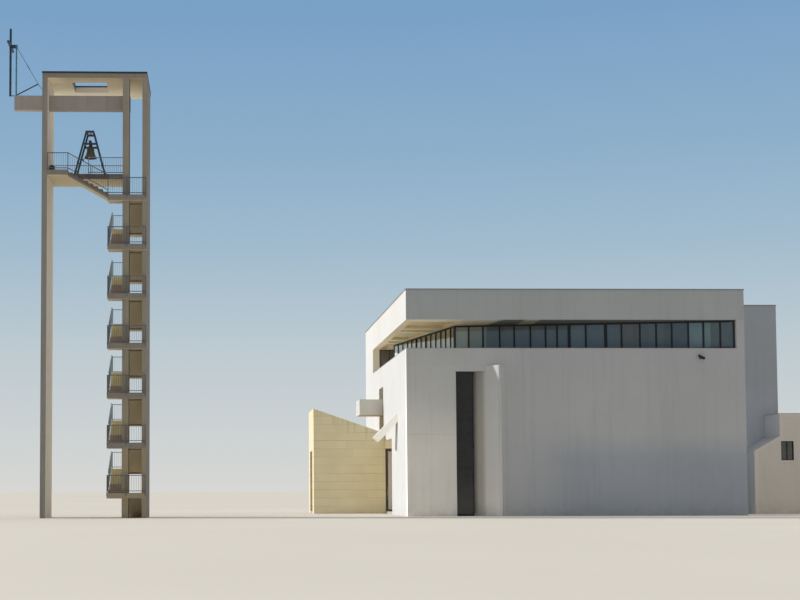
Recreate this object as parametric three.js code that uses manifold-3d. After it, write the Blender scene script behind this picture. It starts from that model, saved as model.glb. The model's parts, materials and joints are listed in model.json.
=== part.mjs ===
// A modern church: a white hall, its low wings, its east block and its free-standing bell tower.
// Dimensions are those of the full-size building in millimetres; the exported group is a 1:2 scale model.
// X runs along the front, Y goes back from it, Z is up; the origin is the centre of the hall on the ground.
import * as THREE from "three";
import { mergeVertices } from "three/addons/utils/BufferGeometryUtils.js";
import Module from "manifold-3d";

const MODEL_SCALE = 1 / 2;
const FIT = 0.6; // clearance between pieces that touch on a slant or turn in each other
const OVER = 1; // how far a cutting tool reaches past the faces that it cuts
const PANE = 30; // thickness of the large sheets of glass

const HALL = { width: 21400, depth: 24300, wall: 500, sill: 10500, soffit: 12300, top: 14230 };
const WEST = -HALL.width / 2;
const EAST = HALL.width / 2;
const FRONT = -HALL.depth / 2;
const BACK = HALL.depth / 2;
const IN = HALL.wall;

const FLOOR = 150;
const ROOF = { slab: 550, coffer: 200 };
const COFFERS = [
  [1340, 4920],
  [5900, 6740],
  [7600, 11960],
  [12970, 13900],
  [14760, 19100],
]; // where each coffer of the roof begins and ends behind the front
const LOGGIA = { end: 19100, floor: 250, overlap: 150, floorEnd: 900, windowInset: 40, window: 60 };
const SLOT = { left: 3100, width: 1870, top: 9050, glass: 1150, setBack: 400 };
const BLADE = { thickness: 250, reach: 700, top: 9400 };
const CLERESTORY = {
  start: [10180, 250],
  corner: [-7110, 3300],
  end: [-9550, 15600],
  rail: 90,
  depth: 50,
  returnShift: 720,
};
const PORCH = { near: 7750, far: 11500, lobbyEnd: 15800, top: 5140, depth: 1700, wall: 200 };
const PORCH_DOOR = {
  width: 1180,
  height: 4560,
  frame: 60,
  frameDepth: 150,
  stile: 100,
  thickness: 60,
  glass: 20,
};
const WEST_SLOT = { near: 12600, far: 15100, bottom: 5900, top: 9000, glassInset: 60 };
const LIGHT_BOX = { reach: 1690, bottom: 7000, top: 8100, shell: 180 };
const FIN = { near: 4400, depth: 1000, top: 6700, height: 600, reach: 1480, drop: 1570, skew: 900 };

const STONE_WING = {
  outer: -15760,
  near: 11500,
  far: 16600,
  wall: 400,
  outerTop: 7360,
  innerTop: 5600,
  roof: 250,
  roofDrop: 62.5,
};
const PIVOT = { radius: 12, length: 80, sides: 12 };
const MAIN_DOOR = { near: 12950, width: 2450, height: 4450, thickness: 70, clearance: 14, inset: 20 };

const EAST_BLOCK = { width: 5070, setBack: 7600, wall: 450, roofTop: 13700, roof: 300 };
const EAST_WING = {
  left: 13070,
  step: 14810,
  right: 18570,
  near: 5000,
  far: 14000,
  wall: 350,
  lowTop: 4170,
  stepTop: 5170,
  top: 6650,
  roof: 250,
  parapet: 350,
};
const EAST_WINDOW = { left: 14870, width: 860, sill: 3550, height: 1270, inset: 120, glass: 40 };
const STEP_BEAM = { width: 300, bottom: 4800 };

const TOWER = { left: -33120, front: -15050, height: 26700, roof: 370, depth: 4600, width: 6340 };
const LEG = { width: 330, depth: 3300 };
const COLUMN = { left: 4880, width: 400, depth: 750 };
const SPINE = { left: 6070, width: 270, depth: 4200 };
const SKYLIGHT = { left: 1690, right: 3790, near: 1050, far: 3200 };
const BEAM = { left: -1790, right: 5280, near: 750, thickness: 400, bottom: 24900, top: 25800 };

const STAIR = {
  left: 3990,
  first: 1500,
  storey: 3000,
  storeys: 6,
  risers: 9,
  tread: 280,
  waist: 230,
  landing: 330,
  wellLeft: 4980,
  wellRight: 5080,
  proud: 200,
  frontDepth: 900,
  backDepth: 1000,
  railInset: 50,
};
const RISER = STAIR.storey / 2 / STAIR.risers;
const FLIGHT_RUN = (STAIR.risers - 1) * STAIR.tread;
const BACK_LANDING = STAIR.frontDepth + FLIGHT_RUN;

const BELFRY = {
  level: 21000,
  landing: 300,
  landingRight: 1590,
  tread: 300,
  platformNear: 1200,
  platformFar: 3500,
  platformTop: 21050,
  platformRight: 4980,
  bracketRight: 5180,
  gateLeft: 2700,
};
const RAILING = { height: 1050, foot: 120, bar: 45, post: 50 };

const BELL = { x: 2750, y: 2100, axis: 23150, mouth: 410, height: 800, wall: 34, sides: 32 };
const BELL_OUTLINE = [
  [0, 1],
  [0.17, 1],
  [0.17, 0.93],
  [0.4, 0.9],
  [0.5, 0.83],
  [0.54, 0.7],
  [0.58, 0.5],
  [0.65, 0.32],
  [0.78, 0.16],
  [0.92, 0.05],
  [1, 0],
]; // radius as a share of the mouth's, level as a share of the height
const CROWN = { inside: 0.86, insideFrom: 3, cheekGap: 4, cheek: 16, cheekWidth: 40, root: 10 };
const TRESTLE = { gap: 1000, foot: 945, apex: 200, top: 23850, leg: 110, bearing: 130 };
const AXLE = { radius: 25, sides: 16 };
const HEADSTOCK = { length: 860, width: 150, height: 200 };
const CLAPPER = {
  pivot: 22880,
  rod: 14,
  rodRoot: 3,
  ball: 65,
  ballLevel: 22290,
  eye: 30,
  pin: 9,
  pinReach: 15,
  sides: 12,
  eyeSides: 16,
  width: 40,
};
const HAMMER = { level: 22170, bar: 44, arm: 40, headLeft: 2260, headRight: 2340, headHeight: 90 };

const CROSS = {
  mastX: -2070,
  postX: -1710,
  y: 950,
  mast: 120,
  post: 80,
  foot: 25800,
  top: 30000,
  armLevel: 28900,
  armLength: 2100,
  strutX: -370,
  strutZ: 26570,
  strut: 60,
  tie: 40,
  stay: 14,
  staySides: 8,
  stayFall: 470,
  anchor: 100,
  anchorDepth: 20,
};

// Materials, with the colours of the photograph.
const material = (color, roughness, metalness = 0) =>
  new THREE.MeshStandardMaterial({ color, roughness, metalness });
const plaster = () => material(0xe6e5e0, 0.9);
const stone = () => material(0xcdbd90, 0.9);
const beige = () => material(0xb9b29f, 0.9);
const concrete = () => material(0xa59b89, 0.9);
const darkMetal = () => material(0x20242a, 0.5, 0.6);
const steel = () => material(0x4d5a66, 0.5, 0.6);
const glass = () => material(0x48545c, 0.1);
const bronze = () => material(0x5c5540, 0.5, 0.8);

// A closed geometry as a solid that can be joined and cut, and back again.
const wasm = await Module();
wasm.setup();

function solidOf(geometry) {
  const bare = geometry.clone();
  bare.deleteAttribute("normal");
  bare.deleteAttribute("uv");
  const merged = mergeVertices(bare, 1e-3);
  return new wasm.Manifold(
    new wasm.Mesh({
      numProp: 3,
      vertProperties: merged.attributes.position.array,
      triVerts: new Uint32Array(merged.index.array),
    }),
  );
}

function geometryOf(solid) {
  const mesh = solid.getMesh();
  const geometry = new THREE.BufferGeometry();
  geometry.setAttribute("position", new THREE.BufferAttribute(mesh.vertProperties, 3));
  geometry.setIndex(new THREE.BufferAttribute(mesh.triVerts, 1));
  geometry.computeVertexNormals();
  return geometry;
}

const common = (a, b) => geometryOf(solidOf(a).intersect(solidOf(b)));
const join = (geometries) => geometryOf(geometries.map(solidOf).reduce((a, b) => a.add(b)));
const cut = (geometry, tools) =>
  geometryOf(tools.map(solidOf).reduce((rest, tool) => rest.subtract(tool), solidOf(geometry)));

// Basic shapes: a box between two corners, and an outline drawn in one plane and extruded across it.
function box(x0, x1, y0, y1, z0, z1) {
  const geometry = new THREE.BoxGeometry(x1 - x0, y1 - y0, z1 - z0);
  return geometry.translate((x0 + x1) / 2, (y0 + y1) / 2, (z0 + z1) / 2);
}

function extruded(points, depth) {
  const shape = new THREE.Shape(points.map(([u, v]) => new THREE.Vector2(u, v)));
  return new THREE.ExtrudeGeometry(shape, { depth, bevelEnabled: false });
}

const plan = (points, z0, z1) => extruded(points, z1 - z0).translate(0, 0, z0);

function elevation(points, y0, y1) {
  return extruded(points, y1 - y0).rotateX(Math.PI / 2).translate(0, y1, 0);
}

function section(points, x0, x1) {
  const turn = new THREE.Matrix4().set(0, 0, 1, x0, 1, 0, 0, 0, 0, 1, 0, 0, 0, 0, 0, 1);
  return extruded(points, x1 - x0).applyMatrix4(turn);
}

// A straight bar of square section between two points, and a round one.
function placed(geometry, from, to) {
  const a = new THREE.Vector3(...from);
  const b = new THREE.Vector3(...to);
  const turn = new THREE.Quaternion().setFromUnitVectors(
    new THREE.Vector3(0, 0, 1),
    b.clone().sub(a).normalize(),
  );
  const middle = a.add(b).multiplyScalar(0.5);
  return geometry.applyQuaternion(turn).translate(middle.x, middle.y, middle.z);
}

const distance = (a, b) => new THREE.Vector3(...a).distanceTo(new THREE.Vector3(...b));
const bar = (a, b, width) => placed(new THREE.BoxGeometry(width, width, distance(a, b)), a, b);
const rod = (a, b, radius, sides) =>
  placed(new THREE.CylinderGeometry(radius, radius, distance(a, b), sides).rotateX(Math.PI / 2), a, b);

const church = new THREE.Group();
church.scale.setScalar(MODEL_SCALE);

function add(group, name, geometry, surface) {
  const mesh = new THREE.Mesh(geometry, surface);
  mesh.name = name;
  group.add(mesh);
}

// The blade stands at 45 degrees through the right side of the tall slot; "grow" widens it for its notch.
function bladeWall(grow) {
  const edge = WEST + SLOT.left + SLOT.width;
  const reach = BLADE.reach + grow;
  const shift = (BLADE.thickness + grow) / Math.SQRT2;
  const back = [edge - reach - grow, FRONT + reach - grow];
  const front = [edge + reach - grow, FRONT - reach - grow];
  const outline = [back, front, [front[0] + shift + grow, front[1] + shift + grow]];
  outline.push([back[0] + shift + grow, back[1] + shift + grow]);
  return plan(outline, 0, BLADE.top + grow);
}

// The hall: four walls round a floor, with the openings cut through them.
function addHallWalls(group) {
  const slotLeft = WEST + SLOT.left;
  const slotRight = slotLeft + SLOT.width;
  const frontOutline = [
    [WEST, 0],
    [slotLeft, 0],
    [slotLeft, SLOT.top],
    [slotRight, SLOT.top],
    [slotRight, 0],
    [EAST, 0],
    [EAST, HALL.soffit],
    [EAST - IN, HALL.soffit],
    [EAST - IN, HALL.sill],
    [WEST, HALL.sill],
  ];
  const bladeNotch = bladeWall(FIT);
  const frontWall = cut(elevation(frontOutline, FRONT, FRONT + IN), [bladeNotch]);
  add(group, "hall_front_wall", frontWall, plaster());

  const westOutline = [
    [FRONT + IN, 0],
    [FRONT + PORCH.near, 0],
    [FRONT + PORCH.near, PORCH.top],
    [FRONT + PORCH.lobbyEnd, PORCH.top],
    [FRONT + PORCH.lobbyEnd, 0],
    [BACK - IN, 0],
    [BACK - IN, HALL.soffit],
    [FRONT + LOGGIA.end, HALL.soffit],
    [FRONT + LOGGIA.end, HALL.sill],
    [FRONT + IN, HALL.sill],
  ];
  const westSlot = box(
    WEST - OVER,
    WEST + IN + OVER,
    FRONT + WEST_SLOT.near,
    FRONT + WEST_SLOT.far,
    WEST_SLOT.bottom,
    WEST_SLOT.top,
  );
  add(group, "hall_west_wall", cut(section(westOutline, WEST, WEST + IN), [westSlot]), plaster());
  add(group, "hall_back_wall", box(WEST, EAST, BACK - IN, BACK, 0, HALL.soffit), plaster());
  add(
    group,
    "hall_east_wall",
    box(EAST - IN, EAST, FRONT + IN, BACK - IN, 0, HALL.soffit),
    plaster(),
  );

  const floorOutline = [
    [WEST + IN, FRONT + IN],
    [EAST - IN, FRONT + IN],
    [EAST - IN, BACK - IN],
    [WEST + IN, BACK - IN],
    [WEST + IN, FRONT + PORCH.lobbyEnd],
    [WEST, FRONT + PORCH.lobbyEnd],
    [WEST, FRONT + PORCH.near],
    [WEST + IN, FRONT + PORCH.near],
  ];
  add(group, "hall_floor", cut(plan(floorOutline, 0, FLOOR), [bladeNotch]), concrete());
}

// Where the side glazing of the clerestory stands at a distance behind the front.
function sideGlazingX(behindFront) {
  const [x0, y0] = CLERESTORY.corner;
  const [x1, y1] = CLERESTORY.end;
  return x0 + ((x1 - x0) * (behindFront - y0)) / (y1 - y0);
}

// The roof is one cast tray: a slab inside a deep parapet, coffered over the loggia.
function addHallRoof(group) {
  const slab = box(WEST, EAST, FRONT, BACK, HALL.soffit, HALL.top);
  const tray = box(
    WEST + IN,
    EAST - IN,
    FRONT + IN,
    BACK - IN,
    HALL.soffit + ROOF.slab,
    HALL.top + OVER,
  );
  const toGlass = (d) => sideGlazingX(Math.min(d, CLERESTORY.end[1])) - LOGGIA.overlap;
  const coffers = COFFERS.map(([near, far]) => {
    const outline = [
      [WEST + IN, FRONT + near],
      [toGlass(near), FRONT + near],
      [toGlass(far), FRONT + far],
      [WEST + IN, FRONT + far],
    ];
    return plan(outline, HALL.soffit - OVER, HALL.soffit + ROOF.coffer);
  });
  add(group, "hall_roof", cut(slab, [tray, ...coffers]), plaster());
}

// The loggia floor carries the clerestory, which runs askew behind the ribbon opening.
function addLoggia(group) {
  const [cornerX, cornerY] = CLERESTORY.corner;
  const [endX, endY] = CLERESTORY.end;
  const lap = LOGGIA.overlap;
  const returnX = endX + CLERESTORY.returnShift;
  const skew = (sideGlazingX(0) - sideGlazingX(1)) * lap;
  const floorOutline = [
    [EAST - IN - LOGGIA.floorEnd, FRONT + IN],
    [cornerX + lap, FRONT + cornerY + lap],
    [endX + lap, FRONT + endY],
    [returnX + lap, FRONT + LOGGIA.end + lap],
    [WEST + IN, FRONT + LOGGIA.end + lap],
    [WEST + IN, FRONT + IN],
  ];
  const floorBottom = HALL.sill - LOGGIA.floor;
  add(group, "loggia_floor", plan(floorOutline, floorBottom, HALL.sill), plaster());

  const returnOutline = [
    [endX, FRONT + endY + FIT],
    [endX + lap, FRONT + endY + FIT + skew],
    [returnX + lap, FRONT + LOGGIA.end],
    [returnX, FRONT + LOGGIA.end],
  ];
  add(group, "loggia_end_wall", plan(returnOutline, HALL.sill, HALL.soffit), plaster());

  const windowFar = FRONT + LOGGIA.end + lap - LOGGIA.windowInset;
  const windowNear = windowFar - LOGGIA.window;
  const sheet = box(WEST + IN, returnX + lap, windowNear, windowFar, HALL.sill, HALL.soffit);
  add(group, "loggia_end_window", sheet, glass());
}

// A strip of even width that follows the bent line of the clerestory, from one offset to another.
function clerestoryStrip(offsetFront, offsetBack) {
  const line = [CLERESTORY.start, CLERESTORY.corner, CLERESTORY.end];
  const points = line.map(([x, y]) => new THREE.Vector2(x, FRONT + y));
  const normals = [0, 1].map((i) => {
    const along = points[i + 1].clone().sub(points[i]).normalize();
    return new THREE.Vector2(along.y, -along.x);
  });
  const corner = normals[0].clone().add(normals[1]).normalize();
  corner.divideScalar(corner.dot(normals[0]));
  const out = [normals[0], corner, normals[1]];
  const at = (i, offset) => points[i].clone().addScaledVector(out[i], offset).toArray();
  const front = [0, 1, 2].map((i) => at(i, offsetFront));
  const back = [2, 1, 0].map((i) => at(i, offsetBack));
  return [...front, ...back];
}

function addClerestory(group) {
  const { rail, depth, start, corner, end } = CLERESTORY;
  const strip = clerestoryStrip(0, depth);
  const whole = plan(strip, HALL.sill, HALL.soffit);
  const level = [HALL.sill, HALL.soffit];
  const startPost = common(whole, box(start[0] - rail, EAST, FRONT, BACK, ...level));
  const cornerPost = common(
    whole,
    box(corner[0] - rail, corner[0] + rail, FRONT, FRONT + corner[1] + 2 * rail, ...level),
  );
  const endPost = common(whole, box(WEST, EAST, FRONT + end[1] - rail, BACK, ...level));
  const frame = join([
    plan(strip, HALL.sill, HALL.sill + rail),
    plan(strip, HALL.soffit - rail, HALL.soffit),
    startPost,
    cornerPost,
    endPost,
  ]);
  add(group, "clerestory_frame", frame, darkMetal());

  const behind = depth + FIT;
  const pane = plan(clerestoryStrip(behind, behind + PANE), ...level);
  add(group, "clerestory_glass", pane, glass());
}

// The tall slot in the front with its blade, and the slot in the west wall with its projecting box.
function addSlots(group) {
  const slotLeft = WEST + SLOT.left;
  const pane = box(
    slotLeft,
    slotLeft + SLOT.glass,
    FRONT + SLOT.setBack,
    FRONT + SLOT.setBack + PANE,
    0,
    SLOT.top,
  );
  add(group, "slot_glass", pane, glass());
  add(group, "blade_wall", bladeWall(0), plaster());

  const near = FRONT + WEST_SLOT.near;
  const far = FRONT + WEST_SLOT.far;
  const inner = WEST + IN - WEST_SLOT.glassInset;
  const outer = WEST - LIGHT_BOX.reach;
  const { shell, bottom, top } = LIGHT_BOX;
  const hollow = box(
    outer + shell,
    inner + OVER,
    near + shell,
    far - shell,
    bottom + shell,
    top - shell,
  );
  add(group, "light_box", cut(box(outer, inner, near, far, bottom, top), [hollow]), plaster());
  const sheet = box(inner, inner + PANE, near, far, WEST_SLOT.bottom, WEST_SLOT.top);
  add(group, "west_slot_glass", sheet, glass());
}

// The fin leans out from the west wall, slopes down and turns back from the front.
function addFin(group) {
  const { top, height, reach, drop, skew, depth } = FIN;
  const near = FRONT + FIN.near;
  const slope = [
    [WEST, top],
    [WEST - reach, top - drop],
    [WEST - reach + height / 2, top - drop - height / 2],
    [WEST, top - height],
  ];
  const outline = [
    [WEST, near],
    [WEST, near + depth],
    [WEST - reach, near + skew + depth],
    [WEST - reach, near + skew],
  ];
  const leaning = elevation(slope, near, near + skew + depth);
  add(group, "leaning_fin", common(leaning, plan(outline, 0, top)), plaster());
}

// A door turns on a pin that stands on the floor at its hinge line and reaches up into the leaf.
const pivotPin = (x, y) =>
  rod([x, y, FLOOR + FIT], [x, y, FLOOR + PIVOT.length], PIVOT.radius, PIVOT.sides);

// The porch is a recess behind the west wall, with a tall glazed door at its far end.
function addPorch(group) {
  const inner = WEST + PORCH.depth;
  const near = FRONT + PORCH.near;
  const far = FRONT + PORCH.far;
  const back = far + PORCH.wall;
  const { wall, top } = PORCH;
  const doorRight = WEST + PORCH_DOOR.width + 2 * PORCH_DOOR.frame;
  const walls = join([
    box(WEST + IN, inner + wall, near - wall, near, FLOOR, top + wall),
    box(inner, inner + wall, near, back, FLOOR, top + wall),
    box(WEST + IN, inner, near, back, top, top + wall),
    box(doorRight, inner, far, back, FLOOR, top),
    box(WEST, doorRight, far, back, PORCH_DOOR.height, top),
  ]);
  add(group, "porch_walls", walls, plaster());

  const { frame, frameDepth, stile, thickness, height } = PORCH_DOOR;
  const opening = box(WEST + frame, doorRight - frame, far - OVER, back, 0, height - frame);
  const surround = cut(box(WEST, doorRight, far, far + frameDepth, FLOOR, height), [opening]);
  add(group, "porch_door_frame", surround, darkMetal());

  const gap = MAIN_DOOR.clearance;
  const leafLeft = WEST + frame + gap;
  const leafRight = doorRight - frame - gap;
  const leafNear = far + MAIN_DOOR.inset;
  const leafBottom = FLOOR + gap;
  const leafTop = height - frame - gap;
  const leaf = box(leafLeft, leafRight, leafNear, leafNear + thickness, leafBottom, leafTop);
  const sight = (y0, y1) =>
    box(leafLeft + stile, leafRight - stile, y0, y1, leafBottom + stile, leafTop - stile);
  const leafFrame = cut(leaf, [sight(leafNear - OVER, leafNear + thickness + OVER)]);
  const hung = join([leafFrame, pivotPin(leafRight, leafNear)]);
  add(group, "porch_door_leaf", hung, darkMetal());
  const glassNear = leafNear + (thickness - PORCH_DOOR.glass) / 2;
  add(group, "porch_door_glass", sight(glassNear, glassNear + PORCH_DOOR.glass), glass());
}

// The stone wing: a roof that falls towards the hall, and a pair of tall doors in its outer wall.
function addStoneWing(group) {
  const { outer, wall, outerTop, innerTop } = STONE_WING;
  const near = FRONT + STONE_WING.near;
  const far = FRONT + STONE_WING.far;
  const fall = (outerTop - innerTop) / (WEST - outer);
  const topAt = (x) => outerTop - (x - outer) * fall;
  const side = [
    [outer, 0],
    [WEST, 0],
    [WEST, innerTop],
    [outer, outerTop],
  ];
  const end = [
    [outer, 0],
    [outer + wall, 0],
    [outer + wall, topAt(outer + wall)],
    [outer, outerTop],
  ];
  const doorNear = FRONT + MAIN_DOOR.near;
  const doorFar = doorNear + MAIN_DOOR.width;
  const doorway = box(
    outer - OVER,
    outer + wall + OVER,
    doorNear,
    doorFar,
    -OVER,
    MAIN_DOOR.height,
  );
  const walls = join([
    elevation(side, near, near + wall),
    elevation(side, far - wall, far),
    cut(elevation(end, near + wall, far - wall), [doorway]),
  ]);
  add(group, "wing_walls", walls, stone());

  const roofTop = (x) => topAt(x) - STONE_WING.roofDrop;
  const roofOutline = [
    [outer + wall, roofTop(outer + wall) - STONE_WING.roof],
    [WEST, roofTop(WEST) - STONE_WING.roof],
    [WEST, roofTop(WEST)],
    [outer + wall, roofTop(outer + wall)],
  ];
  add(group, "wing_roof", elevation(roofOutline, near + wall, far - wall), stone());

  const floorOutline = [
    [outer + wall, near + wall],
    [WEST, near + wall],
    [WEST, far - wall],
    [outer + wall, far - wall],
    [outer + wall, doorFar],
    [outer, doorFar],
    [outer, doorNear],
    [outer + wall, doorNear],
  ];
  add(group, "wing_floor", plan(floorOutline, 0, FLOOR), concrete());

  const { clearance, thickness, inset, height } = MAIN_DOOR;
  const faceIn = outer + wall - inset;
  const leafWidth = (MAIN_DOOR.width - 3 * clearance) / 2;
  const leaf = (y, hinge) =>
    join([
      box(faceIn - thickness, faceIn, y, y + leafWidth, FLOOR + clearance, height - clearance),
      pivotPin(faceIn, hinge),
    ]);
  const firstHinge = doorNear + clearance;
  const lastHinge = doorFar - clearance;
  add(group, "main_door_near_leaf", leaf(firstHinge, firstHinge), darkMetal());
  add(group, "main_door_far_leaf", leaf(lastHinge - leafWidth, lastHinge), darkMetal());
}

// The east block is as high as the hall and stands back from its front.
function addEastBlock(group) {
  const { wall, width, setBack, roof, roofTop } = EAST_BLOCK;
  const near = FRONT + setBack;
  const right = EAST + width;
  const outline = [
    [EAST, near],
    [right, near],
    [right, BACK],
    [EAST, BACK],
    [EAST, BACK - wall],
    [right - wall, BACK - wall],
    [right - wall, near + wall],
    [EAST, near + wall],
  ];
  add(group, "east_block_walls", plan(outline, 0, HALL.top), plaster());
  const slab = box(EAST, right - wall, near + wall, BACK - wall, roofTop - roof, roofTop);
  add(group, "east_block_roof", slab, plaster());
}

// The low east wing stands before the block: a sloping part, then a step up to a taller one.
function addEastWing(group) {
  const { left, step, right, wall, lowTop, stepTop, top, roof, parapet } = EAST_WING;
  const near = FRONT + EAST_WING.near;
  const far = FRONT + EAST_WING.far;
  const blockFront = FRONT + EAST_BLOCK.setBack;
  const blockRight = EAST + EAST_BLOCK.width;
  const rise = (stepTop - lowTop) / (step - left);
  const lowAt = (x) => lowTop + (x - left) * rise;
  const frontOutline = [
    [left, 0],
    [right, 0],
    [right, top],
    [step, top],
    [step, stepTop],
    [left, lowTop],
  ];
  const leftOutline = [
    [left, 0],
    [left + wall, 0],
    [left + wall, lowAt(left + wall)],
    [left, lowTop],
  ];
  const windowBox = (y0, y1) =>
    box(
      EAST_WINDOW.left,
      EAST_WINDOW.left + EAST_WINDOW.width,
      y0,
      y1,
      EAST_WINDOW.sill,
      EAST_WINDOW.sill + EAST_WINDOW.height,
    );
  const stepRight = step + STEP_BEAM.width;
  const walls = join([
    cut(elevation(frontOutline, near, near + wall), [windowBox(near - OVER, near + wall + OVER)]),
    elevation(leftOutline, near + wall, blockFront),
    box(step, stepRight, near + wall, blockFront, STEP_BEAM.bottom, top),
    box(right - wall, right, near + wall, far, 0, top),
    box(blockRight, right - wall, far - wall, far, 0, top),
  ]);
  add(group, "east_wing_walls", walls, beige());
  const glassNear = near + EAST_WINDOW.inset;
  add(group, "east_wing_window", windowBox(glassNear, glassNear + EAST_WINDOW.glass), glass());

  const roofOutline = [
    [stepRight, near + wall],
    [right - wall, near + wall],
    [right - wall, far - wall],
    [blockRight, far - wall],
    [blockRight, blockFront],
    [stepRight, blockFront],
  ];
  const roofTop = top - parapet;
  add(group, "east_wing_roof", plan(roofOutline, roofTop - roof, roofTop), beige());
  const lowOutline = [
    [left + wall, lowAt(left + wall) - roof],
    [step, lowAt(step) - roof],
    [step, lowAt(step)],
    [left + wall, lowAt(left + wall)],
  ];
  const lowRoof = elevation(lowOutline, near + wall, blockFront);
  add(group, "east_wing_low_roof", lowRoof, beige());
}

// The tower's own group: X from its left face, Y back from its front face.
const tower = new THREE.Group();
tower.position.set(TOWER.left, TOWER.front, 0);

const columnBox = () =>
  box(COLUMN.left, COLUMN.left + COLUMN.width, 0, COLUMN.depth, 0, TOWER.height);
const spineBox = () => box(SPINE.left, SPINE.left + SPINE.width, 0, SPINE.depth, 0, TOWER.height);

function addTowerFrame(group) {
  const beam = () =>
    box(BEAM.left, BEAM.right, BEAM.near, BEAM.near + BEAM.thickness, BEAM.bottom, BEAM.top);
  const leg = box(0, LEG.width, 0, LEG.depth, 0, TOWER.height);
  add(group, "tower_leg", cut(leg, [beam()]), concrete());
  add(group, "tower_column", columnBox(), concrete());
  add(group, "tower_spine_wall", spineBox(), concrete());
  add(group, "tower_beam", beam(), concrete());

  const roofTop = TOWER.height + TOWER.roof;
  const slab = box(0, TOWER.width, 0, TOWER.depth, TOWER.height, roofTop);
  const skylight = box(
    SKYLIGHT.left,
    SKYLIGHT.right,
    SKYLIGHT.near,
    SKYLIGHT.far,
    TOWER.height - OVER,
    roofTop + OVER,
  );
  add(group, "tower_roof", cut(slab, [skylight]), concrete());
}

// The outline of a flight: steps above, a sloping soffit below; "along" is its run, "up" its height.
function flightOutline(start, direction, level, tread) {
  const outline = [];
  const run = (STAIR.risers - 1) * tread;
  const lastStep = level + STAIR.storey / 2 - RISER;
  for (let step = 0; step < STAIR.risers - 1; step++) {
    const edge = start + direction * step * tread;
    outline.push([edge, level + step * RISER], [edge, level + (step + 1) * RISER]);
  }
  outline.push([start + direction * run, lastStep], [start + direction * run, lastStep - STAIR.waist]);
  if (level > STAIR.waist) {
    outline[0][1] = level - STAIR.waist;
  } else {
    const slope = (RISER * (STAIR.risers - 1)) / run;
    outline.push([start + (direction * STAIR.waist) / slope, 0]);
  }
  return outline;
}

const frontLanding = (level) =>
  box(STAIR.left, TOWER.width, -STAIR.proud, STAIR.frontDepth, level - STAIR.landing, level);

function leftFlight(level) {
  const outline = flightOutline(STAIR.frontDepth, 1, level, STAIR.tread);
  return section(outline, STAIR.left + STAIR.railInset, STAIR.wellLeft);
}

function rightFlight(level) {
  const outline = flightOutline(BACK_LANDING, -1, level, STAIR.tread);
  return section(outline, STAIR.wellRight, SPINE.left);
}

// A railing along a run of points that carry a foot level: a top bar, a foot bar and posts.
function railing(runs, posts) {
  const pieces = [];
  for (const [from, to] of runs) {
    for (const lift of [RAILING.foot, RAILING.height]) {
      const a = [from[0], from[1], from[2] + lift];
      const b = [to[0], to[1], to[2] + lift];
      pieces.push(bar(a, b, RAILING.bar));
    }
  }
  const half = RAILING.post / 2;
  for (const [x, y, z] of posts) {
    pieces.push(box(x - half, x + half, y - half, y + half, z, z + RAILING.height + half));
  }
  return join(pieces);
}

// One storey climbs from a front landing to the back landing and on to the next front landing.
function addTowerStair(group) {
  const holes = () => [columnBox(), spineBox()];
  const entry = join([rightFlight(0), cut(frontLanding(STAIR.first), holes())]);
  add(group, "tower_stair_entry", entry, concrete());

  const side = STAIR.left + STAIR.railInset / 2;
  const frontLine = -STAIR.proud + STAIR.railInset;
  const right = TOWER.width - STAIR.railInset;
  const backLine = BACK_LANDING + STAIR.backDepth - STAIR.railInset;
  const turnFront = STAIR.frontDepth - STAIR.railInset;
  const turnBack = BACK_LANDING + STAIR.railInset;
  const backRight = SPINE.left - STAIR.railInset;
  for (let storey = 0; storey < STAIR.storeys; storey++) {
    const level = STAIR.first + storey * STAIR.storey;
    const half = level + STAIR.storey / 2;
    const backBox = box(
      STAIR.left,
      SPINE.left,
      BACK_LANDING,
      BACK_LANDING + STAIR.backDepth,
      half - STAIR.landing,
      half,
    );
    const climb = join([
      leftFlight(level),
      backBox,
      rightFlight(half),
      cut(frontLanding(level + STAIR.storey), holes()),
    ]);
    add(group, "tower_stair_" + (storey + 1), climb, concrete());

    const corners = [
      [right, frontLine, level],
      [side, frontLine, level],
      [side, turnFront, level],
      [side, turnBack, half],
      [side, backLine, half],
      [backRight, backLine, half],
    ];
    const runs = [
      [corners[0], corners[1]],
      [corners[1], corners[2]],
      [[side, turnFront, level + RISER], corners[3]],
      [corners[3], corners[4]],
      [corners[4], corners[5]],
    ];
    const middle = [(right + side) / 2, frontLine, level];
    add(group, "stair_railing_" + (storey + 1), railing(runs, [...corners, middle]), steel());
  }
}

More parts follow.
